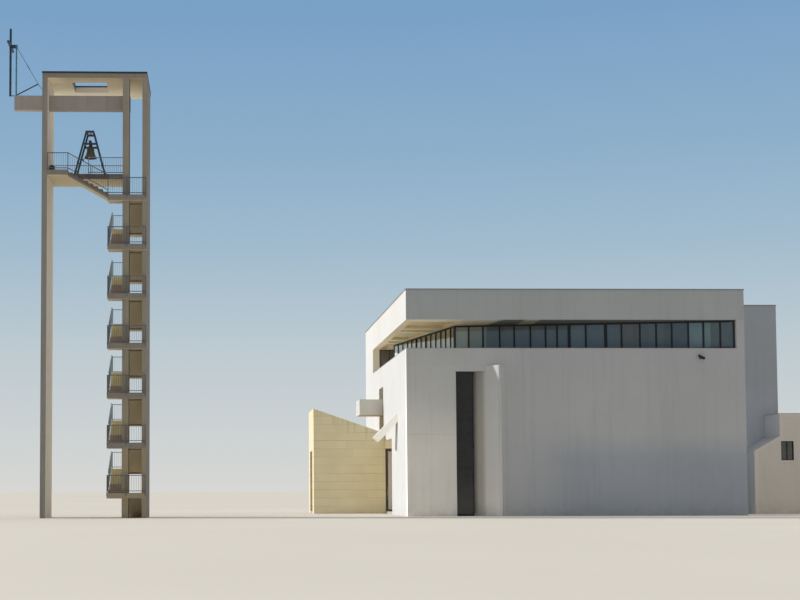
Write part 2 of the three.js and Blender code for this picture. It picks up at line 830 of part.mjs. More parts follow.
// The belfry deck: a last flight along the front, a landing at the leg and the bell's platform.
function addBelfryDeck(group) {
  const near = -STAIR.proud;
  const far = STAIR.frontDepth;
  const base = BELFRY.level - STAIR.storey / 2;
  const flight = elevation(flightOutline(STAIR.left, -1, base, BELFRY.tread), near, far);
  const slab = (x0, x1, y0, y1, top) => box(x0, x1, y0, y1, top - BELFRY.landing, top);
  const { level, landingRight, platformNear, platformFar, platformTop, platformRight } = BELFRY;
  const deck = join([
    flight,
    slab(LEG.width, landingRight, near, platformNear, level),
    slab(LEG.width, platformRight, platformNear, platformFar, platformTop),
    slab(COLUMN.left, BELFRY.bracketRight, COLUMN.depth, platformNear, platformTop),
  ]);
  add(group, "belfry_deck", deck, concrete());

  const line = near + STAIR.railInset;
  const right = TOWER.width - STAIR.railInset;
  const left = LEG.width + STAIR.railInset;
  const foot = STAIR.left + STAIR.railInset / 2;
  const stairCorners = [
    [right, line, base],
    [foot, line, base],
    [landingRight, line, level],
    [left, line, level],
  ];
  const stairRuns = [
    [stairCorners[0], stairCorners[1]],
    [[foot, line, base + RISER], stairCorners[2]],
    [stairCorners[2], stairCorners[3]],
  ];
  const between = [(right + foot) / 2, line, base];
  const stairRailing = railing(stairRuns, [...stairCorners, between]);
  add(group, "belfry_stair_railing", stairRailing, steel());

  const edgeNear = platformNear + STAIR.railInset;
  const edgeFar = platformFar - STAIR.railInset;
  const edgeRight = platformRight - STAIR.railInset;
  const corners = [
    [BELFRY.gateLeft, edgeNear, platformTop],
    [edgeRight, edgeNear, platformTop],
    [edgeRight, edgeFar, platformTop],
    [left, edgeFar, platformTop],
  ];
  const runs = [0, 1, 2].map((i) => [corners[i], corners[i + 1]]);
  const posts = [...corners, [(left + edgeRight) / 2, edgeFar, platformTop]];
  add(group, "belfry_platform_railing", railing(runs, posts), steel());
}

// The trestle: two A-frames one behind the other, tied at the top, with a bearing on each crossbar.
function addTrestle(group) {
  const { foot, apex, top, leg, bearing } = TRESTLE;
  const base = BELFRY.platformTop;
  const spreadAt = (z) => foot - ((foot - apex) * (z - base)) / (top - base);
  const half = leg / 2;
  const barTop = BELL.axis - bearing / 2;
  const pieces = [];
  const frames = [BELL.y - TRESTLE.gap / 2, BELL.y + TRESTLE.gap / 2];
  for (const y of frames) {
    for (const side of [-1, 1]) {
      const low = BELL.x + side * foot;
      const high = BELL.x + side * apex;
      const outline = [
        [low - half, base],
        [low + half, base],
        [high + half, top],
        [high - half, top],
      ];
      pieces.push(elevation(outline, y - half, y + half));
    }
    const crossbar = (z0, z1) => {
      const reach = spreadAt((z0 + z1) / 2);
      return box(BELL.x - reach, BELL.x + reach, y - half, y + half, z0, z1);
    };
    pieces.push(crossbar(barTop - leg, barTop), crossbar(top - leg, top));
    const hold = bearing / 2;
    pieces.push(box(BELL.x - hold, BELL.x + hold, y - half, y + half, barTop, barTop + bearing));
  }
  for (const side of [-1, 1]) {
    const x = BELL.x + side * apex;
    pieces.push(box(x - half, x + half, ...frames, top - leg, top));
  }
  const boreRadius = (AXLE.radius + FIT) / Math.cos(Math.PI / AXLE.sides);
  const bore = rod(
    [BELL.x, frames[0] - leg, BELL.axis],
    [BELL.x, frames[1] + leg, BELL.axis],
    boreRadius,
    AXLE.sides,
  );
  add(group, "bell_trestle", cut(join(pieces), [bore]), darkMetal());

  const level = HAMMER.level;
  const barX = BELL.x - spreadAt(level);
  const thick = HAMMER.bar / 2;
  const arm = HAMMER.arm / 2;
  const { headLeft, headRight, headHeight } = HAMMER;
  const hammer = join([
    box(barX - thick, barX + thick, frames[0] + half, frames[1] - half, level - thick, level + thick),
    box(barX, headLeft, BELL.y - arm, BELL.y + arm, level - arm, level + arm),
    box(headLeft, headRight, BELL.y - leg / 2, BELL.y + leg / 2, level + arm - headHeight, level + arm),
  ]);
  add(group, "bell_hammer", hammer, darkMetal());
}

// The bell hangs from a headstock on its axle; the clapper hangs from a pin in the crown.
function addBell(group) {
  const { x, y, axis, mouth, height, wall, sides } = BELL;
  const crown = axis - HEADSTOCK.height / 2;
  const lip = crown - height;
  const outer = BELL_OUTLINE.map(([r, h]) => new THREE.Vector2(r * mouth, h * height));
  const inner = outer
    .slice(CROWN.insideFrom, -1)
    .reverse()
    .map((p) => new THREE.Vector2(p.x - wall, p.y - wall * (p.y / height)));
  const crownInside = CROWN.inside * height;
  const profile = [
    ...outer,
    new THREE.Vector2(mouth - wall, 0),
    ...inner,
    new THREE.Vector2(0, crownInside),
  ].reverse();
  const body = new THREE.LatheGeometry(profile, sides).rotateX(Math.PI / 2).translate(x, y, lip);
  const halfEye = CLAPPER.width / 2;
  const halfCheek = CROWN.cheekWidth / 2;
  const cheek = (side) => {
    const near = y + side * (halfEye + CROWN.cheekGap);
    const far = near + side * CROWN.cheek;
    const low = CLAPPER.pivot - CLAPPER.eye;
    const high = lip + crownInside + CROWN.root;
    return box(x - halfCheek, x + halfCheek, Math.min(near, far), Math.max(near, far), low, high);
  };
  const across = (reach) => [
    [x, y - reach, CLAPPER.pivot],
    [x, y + reach, CLAPPER.pivot],
  ];
  const pin = rod(...across(halfEye + CLAPPER.pinReach), CLAPPER.pin, CLAPPER.sides);
  add(group, "bell", join([body, cheek(-1), cheek(1), pin]), bronze());

  const halfLength = HEADSTOCK.length / 2;
  const halfWidth = HEADSTOCK.width / 2;
  const axleReach = TRESTLE.gap / 2 + TRESTLE.leg;
  const axle = rod([x, y - axleReach, axis], [x, y + axleReach, axis], AXLE.radius, AXLE.sides);
  const stock = box(
    x - halfWidth,
    x + halfWidth,
    y - halfLength,
    y + halfLength,
    crown,
    crown + HEADSTOCK.height,
  );
  add(group, "bell_headstock", join([stock, axle]), darkMetal());

  const ring = rod(...across(halfEye), CLAPPER.eye, CLAPPER.eyeSides);
  const boreRadius = (CLAPPER.pin + FIT) / Math.cos(Math.PI / CLAPPER.sides);
  const bore = rod(...across(halfEye + OVER), boreRadius, CLAPPER.sides);
  const shaftTop = [x, y, CLAPPER.pivot - CLAPPER.eye + CLAPPER.rodRoot];
  const shaft = rod([x, y, CLAPPER.ballLevel], shaftTop, CLAPPER.rod, CLAPPER.sides);
  const ball = new THREE.SphereGeometry(CLAPPER.ball, 16, 10).translate(x, y, CLAPPER.ballLevel);
  add(group, "bell_clapper", cut(join([ring, shaft, ball]), [bore]), darkMetal());
}

// The cross stands off the beam's end on a post, held by a strut and a stay to the leg.
function addCross(group) {
  const { mastX, postX, y, foot, top, armLevel, strutX, strutZ, stay, staySides, tie } = CROSS;
  const upright = (x, width, height) =>
    box(x - width / 2, x + width / 2, y - width / 2, y + width / 2, foot, height);
  const arm = CROSS.mast / 2;
  const reach = CROSS.armLength / 2;
  const halfTie = tie / 2;
  const tieFoot = foot + halfTie / 2;
  const halfAnchor = CROSS.anchor / 2;
  const anchorZ = strutZ - CROSS.stayFall;
  const frame = join([
    upright(mastX, CROSS.mast, top),
    upright(postX, CROSS.post, armLevel + arm),
    box(mastX - arm, mastX + arm, y - reach, y + reach, armLevel - arm, armLevel + arm),
    box(mastX, postX + arm, y - arm, y + arm, armLevel - arm, armLevel + arm),
    box(mastX, postX, y - halfTie, y + halfTie, tieFoot, tieFoot + tie),
    bar([postX, y, foot + CROSS.strut], [strutX, y, strutZ], CROSS.strut),
    rod([postX, y, armLevel], [strutX, y, strutZ], stay, staySides),
    rod([strutX, y, strutZ], [-stay, y, anchorZ], stay, staySides),
    box(
      -CROSS.anchorDepth,
      0,
      y - halfAnchor,
      y + halfAnchor,
      anchorZ - halfAnchor,
      anchorZ + halfAnchor,
    ),
  ]);
  add(group, "cross_frame", frame, darkMetal());
}

addHallWalls(church);
addHallRoof(church);
addLoggia(church);
addClerestory(church);
addSlots(church);
addFin(church);
addPorch(church);
addStoneWing(church);
addEastBlock(church);
addEastWing(church);
addTowerFrame(tower);
addTowerStair(tower);
addBelfryDeck(tower);
addTrestle(tower);
addBell(tower);
addCross(tower);
church.add(tower);

export default church;
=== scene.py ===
import json
import math

import bpy
from mathutils import Matrix, Vector


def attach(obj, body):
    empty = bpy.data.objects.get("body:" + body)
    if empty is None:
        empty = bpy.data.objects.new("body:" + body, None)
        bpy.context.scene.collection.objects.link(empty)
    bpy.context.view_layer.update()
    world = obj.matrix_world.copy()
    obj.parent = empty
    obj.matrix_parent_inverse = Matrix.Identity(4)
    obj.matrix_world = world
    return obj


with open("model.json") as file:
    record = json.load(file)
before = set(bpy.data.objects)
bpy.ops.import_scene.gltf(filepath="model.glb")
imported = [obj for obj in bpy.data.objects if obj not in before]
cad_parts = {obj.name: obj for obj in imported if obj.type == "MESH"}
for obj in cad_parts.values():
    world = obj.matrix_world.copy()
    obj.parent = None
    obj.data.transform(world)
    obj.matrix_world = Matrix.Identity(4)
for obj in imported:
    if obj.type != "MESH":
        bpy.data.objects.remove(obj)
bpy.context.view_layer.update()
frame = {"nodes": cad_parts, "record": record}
NODES = frame["nodes"]

# Lengths are those of the full-size building in metres; SCALE takes them to the model.
# X runs along the front, Y goes back from it, Z is up, from the centre of the hall on the ground.
SCALE = 0.5
UP = Vector((0, 0, 1))
WEST, EAST, FRONT, BACK = -10.7, 10.7, -12.15, 12.15
SILL, SOFFIT, HALL_TOP = 10.5, 12.3, 14.23
BLOCK_EAST, BLOCK_FRONT = EAST + 5.07, FRONT + 7.6
WING_WEST, WING_FRONT, WING_BACK = -15.76, FRONT + 11.5, FRONT + 16.6
EAVE = 7.36
WING_FALL = (EAVE - 5.6) / (WEST - WING_WEST)
TOWER_X, TOWER_Y, TOWER_TOP = -33.12, -15.05, 27.07
TOWER_WIDTH, TOWER_DEPTH = 6.34, 4.6
STOREY, STOREYS, FIRST_LANDING = 3.0, 6, 1.5
BELFRY_LANDING, DECK, PLATFORM = 19.5, 21.0, 21.05
FLOOR = 0.15
SLOT_X, SLOT_WIDTH, LOGGIA_BACK = WEST + 3.1, 1.15, FRONT + 19.1

# The concrete's boards and lifts and the stone's courses and blocks, in metres of the model.
BOARD, LIFT = 0.065, 1.5
TIE_PITCH, TIE_RISE = 0.52, 0.75
COURSE, STONE_LENGTH = 0.288, 0.66

WHITE, GRAVEL = (0.725, 0.735, 0.75), (0.46, 0.455, 0.44)
# The first colour here is painted light: the warm bounce light from the sunlit ground that undersides take. DUST is
# the dust on glass.
WARM_BOUNCE_UNDER, DUST = (0.90, 0.77, 0.53), (0.35, 0.36, 0.35)


def toned(color, factor):
    return tuple(min(1.0, factor * c) for c in color)


# Links an object to the scene.
def placed(name, data):
    thing = bpy.data.objects.new(name, data)
    bpy.context.scene.collection.objects.link(thing)
    return thing


# The node graph of a material or of the world.
class Graph:
    def __init__(self, owner):
        owner.use_nodes = True
        self.tree = owner.node_tree

    def feed(self, socket, value):
        if isinstance(value, bpy.types.NodeSocket):
            self.tree.links.new(value, socket)
        elif isinstance(value, tuple) and len(value) == 3 and socket.type == "RGBA":
            socket.default_value = (*value, 1)
        else:
            socket.default_value = value

    # One output of a new node, with what goes into it and its settings.
    def node(self, kind, output, inputs=(), **settings):
        node = self.tree.nodes.new("ShaderNode" + kind)
        for key, value in settings.items():
            setattr(node, key, value)
        for key, value in dict(inputs).items():
            self.feed(node.inputs[key], value)
        return node.outputs[output]


# Procedural materials on object coordinates. "color" is the surface's colour so far, and paint and tint change it
# where all the masks hold.
class Surface(Graph):
    def __init__(self, name, color=None):
        self.material = bpy.data.materials.new(name + "_finish")
        super().__init__(self.material)
        self.place = self.node("TexCoord", "Object")
        self.x, self.y, self.z = self.axes(self.place)
        self.side, self.face, self.up = self.axes(self.node("NewGeometry", "True Normal"))
        self.color = color

    def axes(self, vector):
        node = self.tree.nodes.new("ShaderNodeSeparateXYZ")
        self.feed(node.inputs[0], vector)
        return node.outputs

    def math(self, operation, *values):
        return self.node("Math", 0, enumerate(values), operation=operation)

    def plus(self, a, b):
        return self.math("ADD", a, b)

    def minus(self, a, b):
        return self.math("SUBTRACT", a, b)

    def times(self, first, *others):
        for other in others:
            first = self.math("MULTIPLY", first, other)
        return first

    # The cell of a given size that a value lies in, and the place in that cell, from 0 to 1.
    def cell(self, value, size):
        return self.math("FLOOR", self.math("DIVIDE", value, size))

    def within(self, value, size):
        return self.math("FRACT", self.math("DIVIDE", value, size))

    # A random number for each cell.
    def random(self, *cell):
        place = self.node("CombineXYZ", 0, enumerate(cell))
        return self.node("TexWhiteNoise", "Value", {"Vector": place}, noise_dimensions="3D")

    def noise(self, scale, detail=4.0, roughness=0.55, stretch=None):
        at = self.node("Mapping", 0, {"Vector": self.place, "Scale": stretch}) if stretch else self.place
        return self.node("TexNoise", "Fac", {"Vector": at, "Scale": scale, "Detail": detail, "Roughness": roughness})

    def band(self, value, low, high, out_low=0.0, out_high=1.0):
        inputs = {"Value": value, "From Min": low, "From Max": high, "To Min": out_low, "To Max": out_high}
        return self.node("MapRange", "Result", inputs)

    # Soft and hard masks between places in metres of the full-size building.
    def ramp(self, value, start, end, *out):
        return self.band(value, start * SCALE, end * SCALE, *out)

    def above(self, value, limit):
        return self.math("GREATER_THAN", value, limit * SCALE)

    def below(self, value, limit):
        return self.math("LESS_THAN", value, limit * SCALE)

    def between(self, value, low, high):
        return self.times(self.above(value, low), self.below(value, high))

    # Masks for what faces the front, faces down, and stands upright.
    def fronts(self):
        return self.band(self.face, -0.5, -0.95)

    def unders(self):
        return self.band(self.up, -0.4, -0.8)

    def uprights(self):
        return self.band(self.math("ABSOLUTE", self.up), 0.6, 0.3)

    def mix(self, factor, a, b, blend="MIX"):
        return self.node("Mix", "Result", {"Factor": factor, "A": a, "B": b}, data_type="RGBA", blend_type=blend)

    def paint(self, color, *masks):
        self.color = self.mix(self.times(*masks), self.color, color)

    def tint(self, color, *masks):
        self.color = self.mix(self.times(*masks), self.color, color, "MULTIPLY")

    def bump(self, height, distance, strength=0.5, under=None):
        inputs = {"Height": height, "Distance": distance, "Strength": strength}
        return self.node("Bump", "Normal", inputs if under is None else {**inputs, "Normal": under})

    def done(self, roughness, normal, **inputs):
        inputs.update(Base_Color=self.color, Roughness=roughness, Normal=normal)
        for key, value in inputs.items():
            self.feed(self.tree.nodes["Principled BSDF"].inputs[key.replace("_", " ")], value)
        return self


# Painted render: mottled, with rain streaks and dirt near the ground, and painted warm bounce light and shade on the
# undersides ("under"). "front" tints what faces the front with painted shade, "west" paints a white in painted shade
# on what faces the sun, "reveal" colours what faces the front and back, as the sides of openings do, with painted
# light and shade, and in the hall's openings with their own cream paint as well, "tints" are painted light and shade
# across a wall, each between two places along it and two heights, and "lines" are fine joints.
def render_surface(
    name, light, dark, under=WARM_BOUNCE_UNDER, roof=GRAVEL, streaks=0.25, lines=(), front=None, west=None, reveal=None,
    tints=(), soffit=False,
):
    s = Surface(name)
    s.color = s.mix(s.band(s.noise(0.45, 5), 0.3, 0.7), dark, light)
    s.paint(dark, s.band(s.noise(2.6, 6, 0.6), 0.42, 0.75), 0.22)
    streak = s.band(s.noise(1.0, 5, 0.6, (7.0, 7.0, 0.3)), 0.5, 0.8)
    s.paint(toned(dark, 0.62), streak, s.uprights(), streaks)
    s.paint(toned(dark, 0.55), s.band(s.z, 0.45, 0.0), s.band(s.noise(5.0, 4), 0.35, 0.7), 0.4)
    # Painted shade on what faces the front and, with "west", on what faces the sun, painted light and shade on what
    # faces the front and back and across the wall, and painted bounce light and shade on the undersides.
    if front:
        s.tint(front, s.fronts())
    if west:
        s.paint(west, s.band(s.side, -0.5, -0.95))
    if reveal:
        s.paint(reveal, s.band(s.math("ABSOLUTE", s.face), 0.5, 0.9))
    for low_x, high_x, low_z, high_z, color in tints:
        s.tint(color, s.ramp(s.x, low_x, high_x), s.ramp(s.z, low_z, high_z))
    s.paint(under, s.unders())
    if soffit:
        soffit_shade(s)
    if roof:
        gravel = s.mix(s.band(s.noise(180.0, 3), 0.35, 0.65), toned(roof, 0.7), roof)
        s.paint(gravel, s.band(s.up, 0.6, 0.8))
    for level, x0, x1, y1 in lines:
        groove = s.math("LESS_THAN", s.math("ABSOLUTE", s.minus(s.z, level * SCALE)), 0.006)
        s.paint(toned(dark, 0.5), groove, s.between(s.x, x0, x1), s.below(s.y, y1), 0.3)
    grain = s.bump(s.noise(150.0, 6, 0.65), 0.0015, 0.35)
    trowel = s.bump(s.noise(9.0, 3), 0.006, 0.3, grain)
    return s.done(s.band(s.noise(12.0, 4), 0.3, 0.7, 0.78, 0.95), trowel)


# The soffit, with painted light and shade: ochre painted bounce light in the coffers and on their sides, paler on
# the ribs, cream painted light along its outer edges, and painted shade above the front glazing beyond a slanting
# line, but for one pale rib.
def soffit_shade(s):
    rim = 0.2
    inside = s.times(s.between(s.x, WEST + rim, EAST - rim), s.between(s.y, FRONT + rim, BACK - rim))
    s.paint((0.76, 0.62, 0.39), s.below(s.z, SOFFIT + 0.3), inside)
    rib = s.ramp(s.z, SOFFIT + 0.12, SOFFIT + 0.08)
    s.paint(s.mix(rib, (1.0, 0.84, 0.53), (1.0, 0.90, 0.63)), s.unders())
    brushed = s.band(s.noise(1.0, 4, 0.6, (0.5, 3.0, 1.0)), 0.35, 0.7, 0.0, 0.25)
    s.paint((0.80, 0.66, 0.42), brushed, s.unders())
    # Painted light along the front and west edges.
    s.paint((1.0, 0.93, 0.74), s.ramp(s.y, FRONT + 1.25, FRONT + 0.95), s.unders())
    s.paint((1.0, 0.86, 0.64), s.ramp(s.x, WEST + 0.6, WEST + 0.4), s.unders())
    # Painted shade beyond a slanting line, but for one pale rib.
    slant = s.plus(s.x, s.times(s.minus(s.y, FRONT * SCALE), 0.14))
    s.tint((0.74, 0.76, 0.80), s.ramp(slant, -8.6, -6.6), s.unders())
    pale = s.times(s.ramp(s.x, -3.25, -3.1), s.ramp(s.x, -2.1, -2.3), 0.5)
    s.tint((0.23, 0.265, 0.32), s.ramp(slant, -4.9, -4.4), s.minus(1.0, pale), s.unders())


# Concrete cast against narrow upright boards, with tie holes, streaks and lighter patches.
# "front" tints what faces the front with painted shade, "east" paints what faces the sun's far side with painted
# shade, and on the legs with painted bounce light, "inner" is the underside's painted bounce light at the back of the
# tower, which also lightens what faces the front there, "under" paints bounce light and shade on the undersides,
# "low" tints the lowest storeys, and "shade" paints light and shade on the steps of the flights.
def concrete_surface(
    name, light, dark, under, seams=0.22, front=None, east=None, inner=None, low=None, shade=None,
):
    s = Surface(name)
    along = s.plus(s.x, s.y)
    tone = s.random(s.cell(along, BOARD), s.cell(s.z, LIFT), 0.0)
    s.color = s.mix(s.band(s.noise(0.9, 6, 0.6), 0.3, 0.7), dark, light)
    s.paint(toned(dark, 0.72), tone, s.uprights(), 0.12)
    s.paint(toned(light, 1.15), s.band(s.noise(3.2, 6, 0.65), 0.55, 0.75), 0.25)
    s.paint(toned(dark, 0.5), s.band(s.noise(1.0, 5, 0.6, (9.0, 9.0, 0.35)), 0.52, 0.8), s.uprights(), 0.4)
    # Painted light and shade on what faces the front and east, at the back of the tower and on the undersides.
    if front:
        s.tint(front, s.fronts())
    if low:
        s.tint(low, s.ramp(s.z, 10.0, 4.0))
    if east:
        s.paint(east, s.band(s.side, 0.5, 0.95))
    if inner:
        s.paint((0.90, 0.79, 0.68), s.fronts(), s.ramp(s.y, TOWER_Y + 0.6, TOWER_Y + 0.8))
        under = s.mix(s.ramp(s.x, TOWER_X + 1.6, TOWER_X + 0.5), under, (0.90, 0.80, 0.585))
        under = s.mix(s.ramp(s.y, TOWER_Y + 0.4, TOWER_Y + 3.4), under, inner)
    s.paint(under, s.band(s.up, -0.3, -0.7), 0.9)
    if shade:
        shade(s)
    joint = s.math("LESS_THAN", s.within(along, BOARD), 0.05)
    pour = s.math("LESS_THAN", s.within(s.z, LIFT), 0.006)
    seam = s.times(s.math("MAXIMUM", joint, pour), s.uprights())
    s.paint(toned(dark, 0.55), seam, seams)
    u = s.times(s.minus(s.within(along, TIE_PITCH), 0.5), TIE_PITCH)
    v = s.times(s.minus(s.within(s.z, TIE_RISE), 0.5), TIE_RISE)
    spread = s.math("SQRT", s.plus(s.math("POWER", u, 2.0), s.math("POWER", v, 2.0)))
    s.paint(toned(dark, 0.35), s.band(spread, 0.011, 0.007), s.uprights(), 0.55)
    relief = s.minus(s.times(tone, 0.4), seam)
    normal = s.bump(relief, 0.002, 0.5, s.bump(s.noise(120.0, 6, 0.7), 0.002, 0.4))
    return s.done(s.band(s.noise(8.0, 4), 0.3, 0.7, 0.75, 0.95), normal)


# Painted light and shade on the risers behind each landing: brown painted shade at the foot of the flight and cream
# painted bounce light above.
def riser_shade(s):
    climb = s.times(s.within(s.minus(s.z, 0.75), STOREY * SCALE), 2.0)
    turn = s.band(s.z, 5.25, 8.6, 0.36, 0.72)
    color = s.mix(s.band(s.minus(climb, turn), -0.04, 0.04), (0.58, 0.44, 0.34), (1.0, 0.87, 0.51))
    s.paint(color, s.below(s.x, TOWER_X + 5.0), s.above(s.y, TOWER_Y + 0.6), s.band(s.face, -0.4, -0.8))


# Painted shade: the ends of the belfry flight's steps are painted darker than the slab that carries them, where they
# stand back in shadow.
def step_shade(s):
    run = s.minus((TOWER_X + 3.99) * SCALE, s.x)
    rise = s.minus(s.z, s.plus(s.times(run, 1.5 / 2.7), 19.36 * SCALE))
    s.paint((0.15, 0.12, 0.095), s.between(run, 0.0, 2.4), s.band(rise, 0.0, 0.02), s.band(s.face, -0.4, -0.8), 0.85)


# Coursed limestone: long blocks with fine joints, each block a little different, and dark drips below the wing's
# sloping top.
def stone_surface(name, light, dark, under, front):
    s = Surface(name)
    rows = s.math("DIVIDE", s.plus(s.z, 0.03), COURSE)
    row = s.math("FLOOR", rows)
    along = s.math("DIVIDE", s.plus(s.x, s.y), STONE_LENGTH)
    blocks = s.plus(along, s.times(s.random(row, 1.0, 2.0), 0.8))
    s.color = s.mix(s.random(s.math("FLOOR", blocks), row, 4.0), dark, light)
    joint = s.band(s.math("PINGPONG", rows, 0.5), 0.040, 0.018)
    upright_joint = s.band(s.math("PINGPONG", blocks, 0.5), 0.006, 0.003)
    worn = s.band(s.noise(1.0, 3, 0.6, (0.7, 0.7, 3.0)), 0.38, 0.62, 0.15, 0.8)
    s.paint(toned(dark, 0.55), joint, worn)
    s.paint(toned(dark, 0.72), upright_joint, 0.16)
    s.paint(toned(dark, 0.9), s.band(s.noise(1.2, 6, 0.6), 0.35, 0.7, 0.0, 0.5))
    # Painted shade on what faces the front.
    s.tint(front, s.fronts())
    top = s.minus(EAVE * SCALE, s.times(s.minus(s.x, WING_WEST * SCALE), WING_FALL))
    drip = s.band(s.noise(1.0, 5, 0.65, (9.0, 9.0, 0.5)), 0.52, 0.68)
    s.paint((0.30, 0.25, 0.16), drip, s.band(s.minus(top, s.z), 0.55, 0.0), 0.45)
    s.paint(toned(dark, 0.6), s.band(s.noise(70.0, 4, 0.7), 0.6, 0.72), 0.35)
    s.paint((0.62, 0.60, 0.52), s.band(s.z, 0.7, 0.0), s.band(s.noise(3.0, 5), 0.3, 0.65), 0.3)
    # Painted shade on the undersides.
    s.paint(under, s.unders())
    cut = s.minus(1.0, s.math("MAXIMUM", joint, upright_joint))
    normal = s.bump(cut, 0.003, 0.4, s.bump(s.noise(90.0, 6, 0.7), 0.002, 0.5))
    return s.done(s.band(s.noise(10.0, 4), 0.3, 0.7, 0.78, 0.95), normal)


# "behind" is painted light, a lighter colour at the back of the tower, and "part" a colour between two places along
# the front.
def metal_surface(name, color, worn, roughness, metallic, wear=0.25, behind=None, part=None):
    s = Surface(name, color)
    if behind:
        s.paint(behind, s.ramp(s.y, TOWER_Y + 0.3, TOWER_Y + 2.0))
    if part:
        low, high, other = part
        s.paint(other, s.between(s.x, low, high))
    s.paint(worn, s.band(s.noise(6.0, 6, 0.65), 0.5, 0.8), wear)
    fine = s.noise(40.0, 5, 0.6)
    rough = s.band(fine, 0.3, 0.7, roughness - 0.1, roughness + 0.12)
    return s.done(rough, s.bump(fine, 0.0006, 0.3), Metallic=metallic)


# What all glass has: dust in patches, a slight wave and gloss.
def glazed(s, dust, dusty, gloss, roughness=0.06):
    s.paint(dust, s.band(s.noise(2.5, 5), 0.4, 0.75), dusty)
    rough = s.band(s.noise(20.0, 4), 0.3, 0.7, roughness, roughness + 0.08)
    return s.done(rough, s.bump(s.noise(1.6, 2), 0.004, 0.25), Specular_IOR_Level=gloss)


# Glass is dark and glossy, with a tint that changes by pane.
def glass_surface(name, tint, other, pane, roughness=0.06, dust=DUST):
    s = Surface(name)
    number = s.cell(s.plus(s.x, s.times(s.y, 0.37)), pane)
    s.color = s.mix(s.random(number, 3.0, 1.0), tint, other)
    return glazed(s, dust, 0.12, 0.65, roughness)


# The clerestory's glass, with painted reflections and shade: pale reflections of the sky low on the side run and the
# soffit's above it, paler reflections in the first front panes and near the corner, and brown painted shade at the
# head.
def clerestory_surface(name, tint, other):
    s = Surface(name)
    s.color = s.mix(s.random(s.cell(s.x, 0.5), 3.0, 1.0), tint, other)
    # Painted reflections, paler and bluer on the left of the front run and different in some panes.
    s.tint((1.5, 1.58, 1.7), s.ramp(s.x, 6.0, 1.5))
    for low, high, pane in (
        (3.2, 4.3, (1.05, 0.86, 0.80)),
        (5.9, 7.4, (0.84, 0.9, 1.0)),
        (7.45, 8.25, (1.6, 1.75, 1.7)),
        (8.36, 8.74, (1.6, 1.7, 1.6)),
    ):
        s.tint(pane, s.between(s.x, low, high))
    s.paint((0.31, 0.42, 0.45), s.ramp(s.x, -5.05, -5.15))
    s.paint((0.42, 0.52, 0.53), s.ramp(s.x, -6.1, -6.2))
    # Brown painted shade at the head, strong on the left panes and faint on the right.
    brown = s.mix(s.ramp(s.x, -5.1, -5.0), (0.27, 0.27, 0.20), (0.12, 0.115, 0.09))
    s.paint(brown, s.ramp(s.z, 11.86, 11.98), s.ramp(s.x, -1.5, 1.0, 0.8, 0.1))
    # The side run's painted reflections: the pale sky below a sloping line and the soffit above it.
    line = s.plus(s.times(s.minus(s.y, FRONT * SCALE), 0.055), 11.36 * SCALE)
    streak = s.band(s.noise(1.0, 4, 0.6, (6.0, 6.0, 0.4)), 0.4, 0.7)
    pale = s.mix(streak, (0.72, 0.89, 0.95), (0.88, 1.0, 1.0))
    side_run = s.mix(s.band(s.minus(s.z, line), -0.02, 0.02), pale, (0.36, 0.33, 0.205))
    s.paint(side_run, s.band(s.math("ABSOLUTE", s.side), 0.6, 0.8))
    return glazed(s, DUST, 0.1, 0.5)


# Bronze with patina that runs down, and fine rings from the turning.
def bronze_surface(name):
    s = Surface(name)
    patina = s.band(s.noise(14.0, 6, 0.65, (1.0, 1.0, 0.45)), 0.42, 0.68)
    s.color = s.mix(patina, (0.13, 0.10, 0.055), (0.19, 0.20, 0.14))
    s.paint((0.2, 0.28, 0.22), s.band(s.noise(60.0, 5, 0.6), 0.6, 0.72), 0.5)
    rings = s.math("SINE", s.times(s.z, 900.0))
    normal = s.bump(rings, 0.0003, 0.12, s.bump(s.noise(110.0, 5), 0.0006, 0.4))
    return s.done(s.band(patina, 0.0, 1.0, 0.42, 0.75), normal, Metallic=s.band(patina, 0.0, 1.0, 0.6, 0.2))


# The light and the dark tone of each kind of wall.
PAINTED = (WHITE, (0.66, 0.67, 0.685))
CAST = ((0.52, 0.475, 0.40), (0.44, 0.40, 0.335))
# Painted shade: the colour of what faces east on the tower, and the tint of what faces the front on its stairs.
EAST_SHADE = (0.176, 0.174, 0.168)
STEP_FRONT_SHADE = (0.56, 0.555, 0.585)
PLASTER = render_surface("white_plaster", *PAINTED)
# The reveals of the west wall and of the loggia's end: their cream paint, with painted bounce light and shade.
WEST_WALL = render_surface("west_wall", *PAINTED, reveal=(1.0, 0.93, 0.76))
END_WALL = render_surface("end_wall", *PAINTED, reveal=(0.80, 0.68, 0.48))
# The light box: painted bounce light under it, painted shade on its front and back faces, and darker towards the wall
# with painted shade.
LIGHT_BOX = render_surface(
    "light_box", *PAINTED, (0.70, 0.60, 0.44), reveal=(0.66, 0.65, 0.60),
    tints=((-11.6, -10.75, 0.0, 1.0, (0.80, 0.76, 0.68)),),
)
# The fin: painted bounce light on its front and back faces, paler than the wall's white, and on its underside.
FIN = render_surface("fin", *PAINTED, (0.80, 0.74, 0.62), roof=WHITE, reveal=(0.94, 0.92, 0.84))
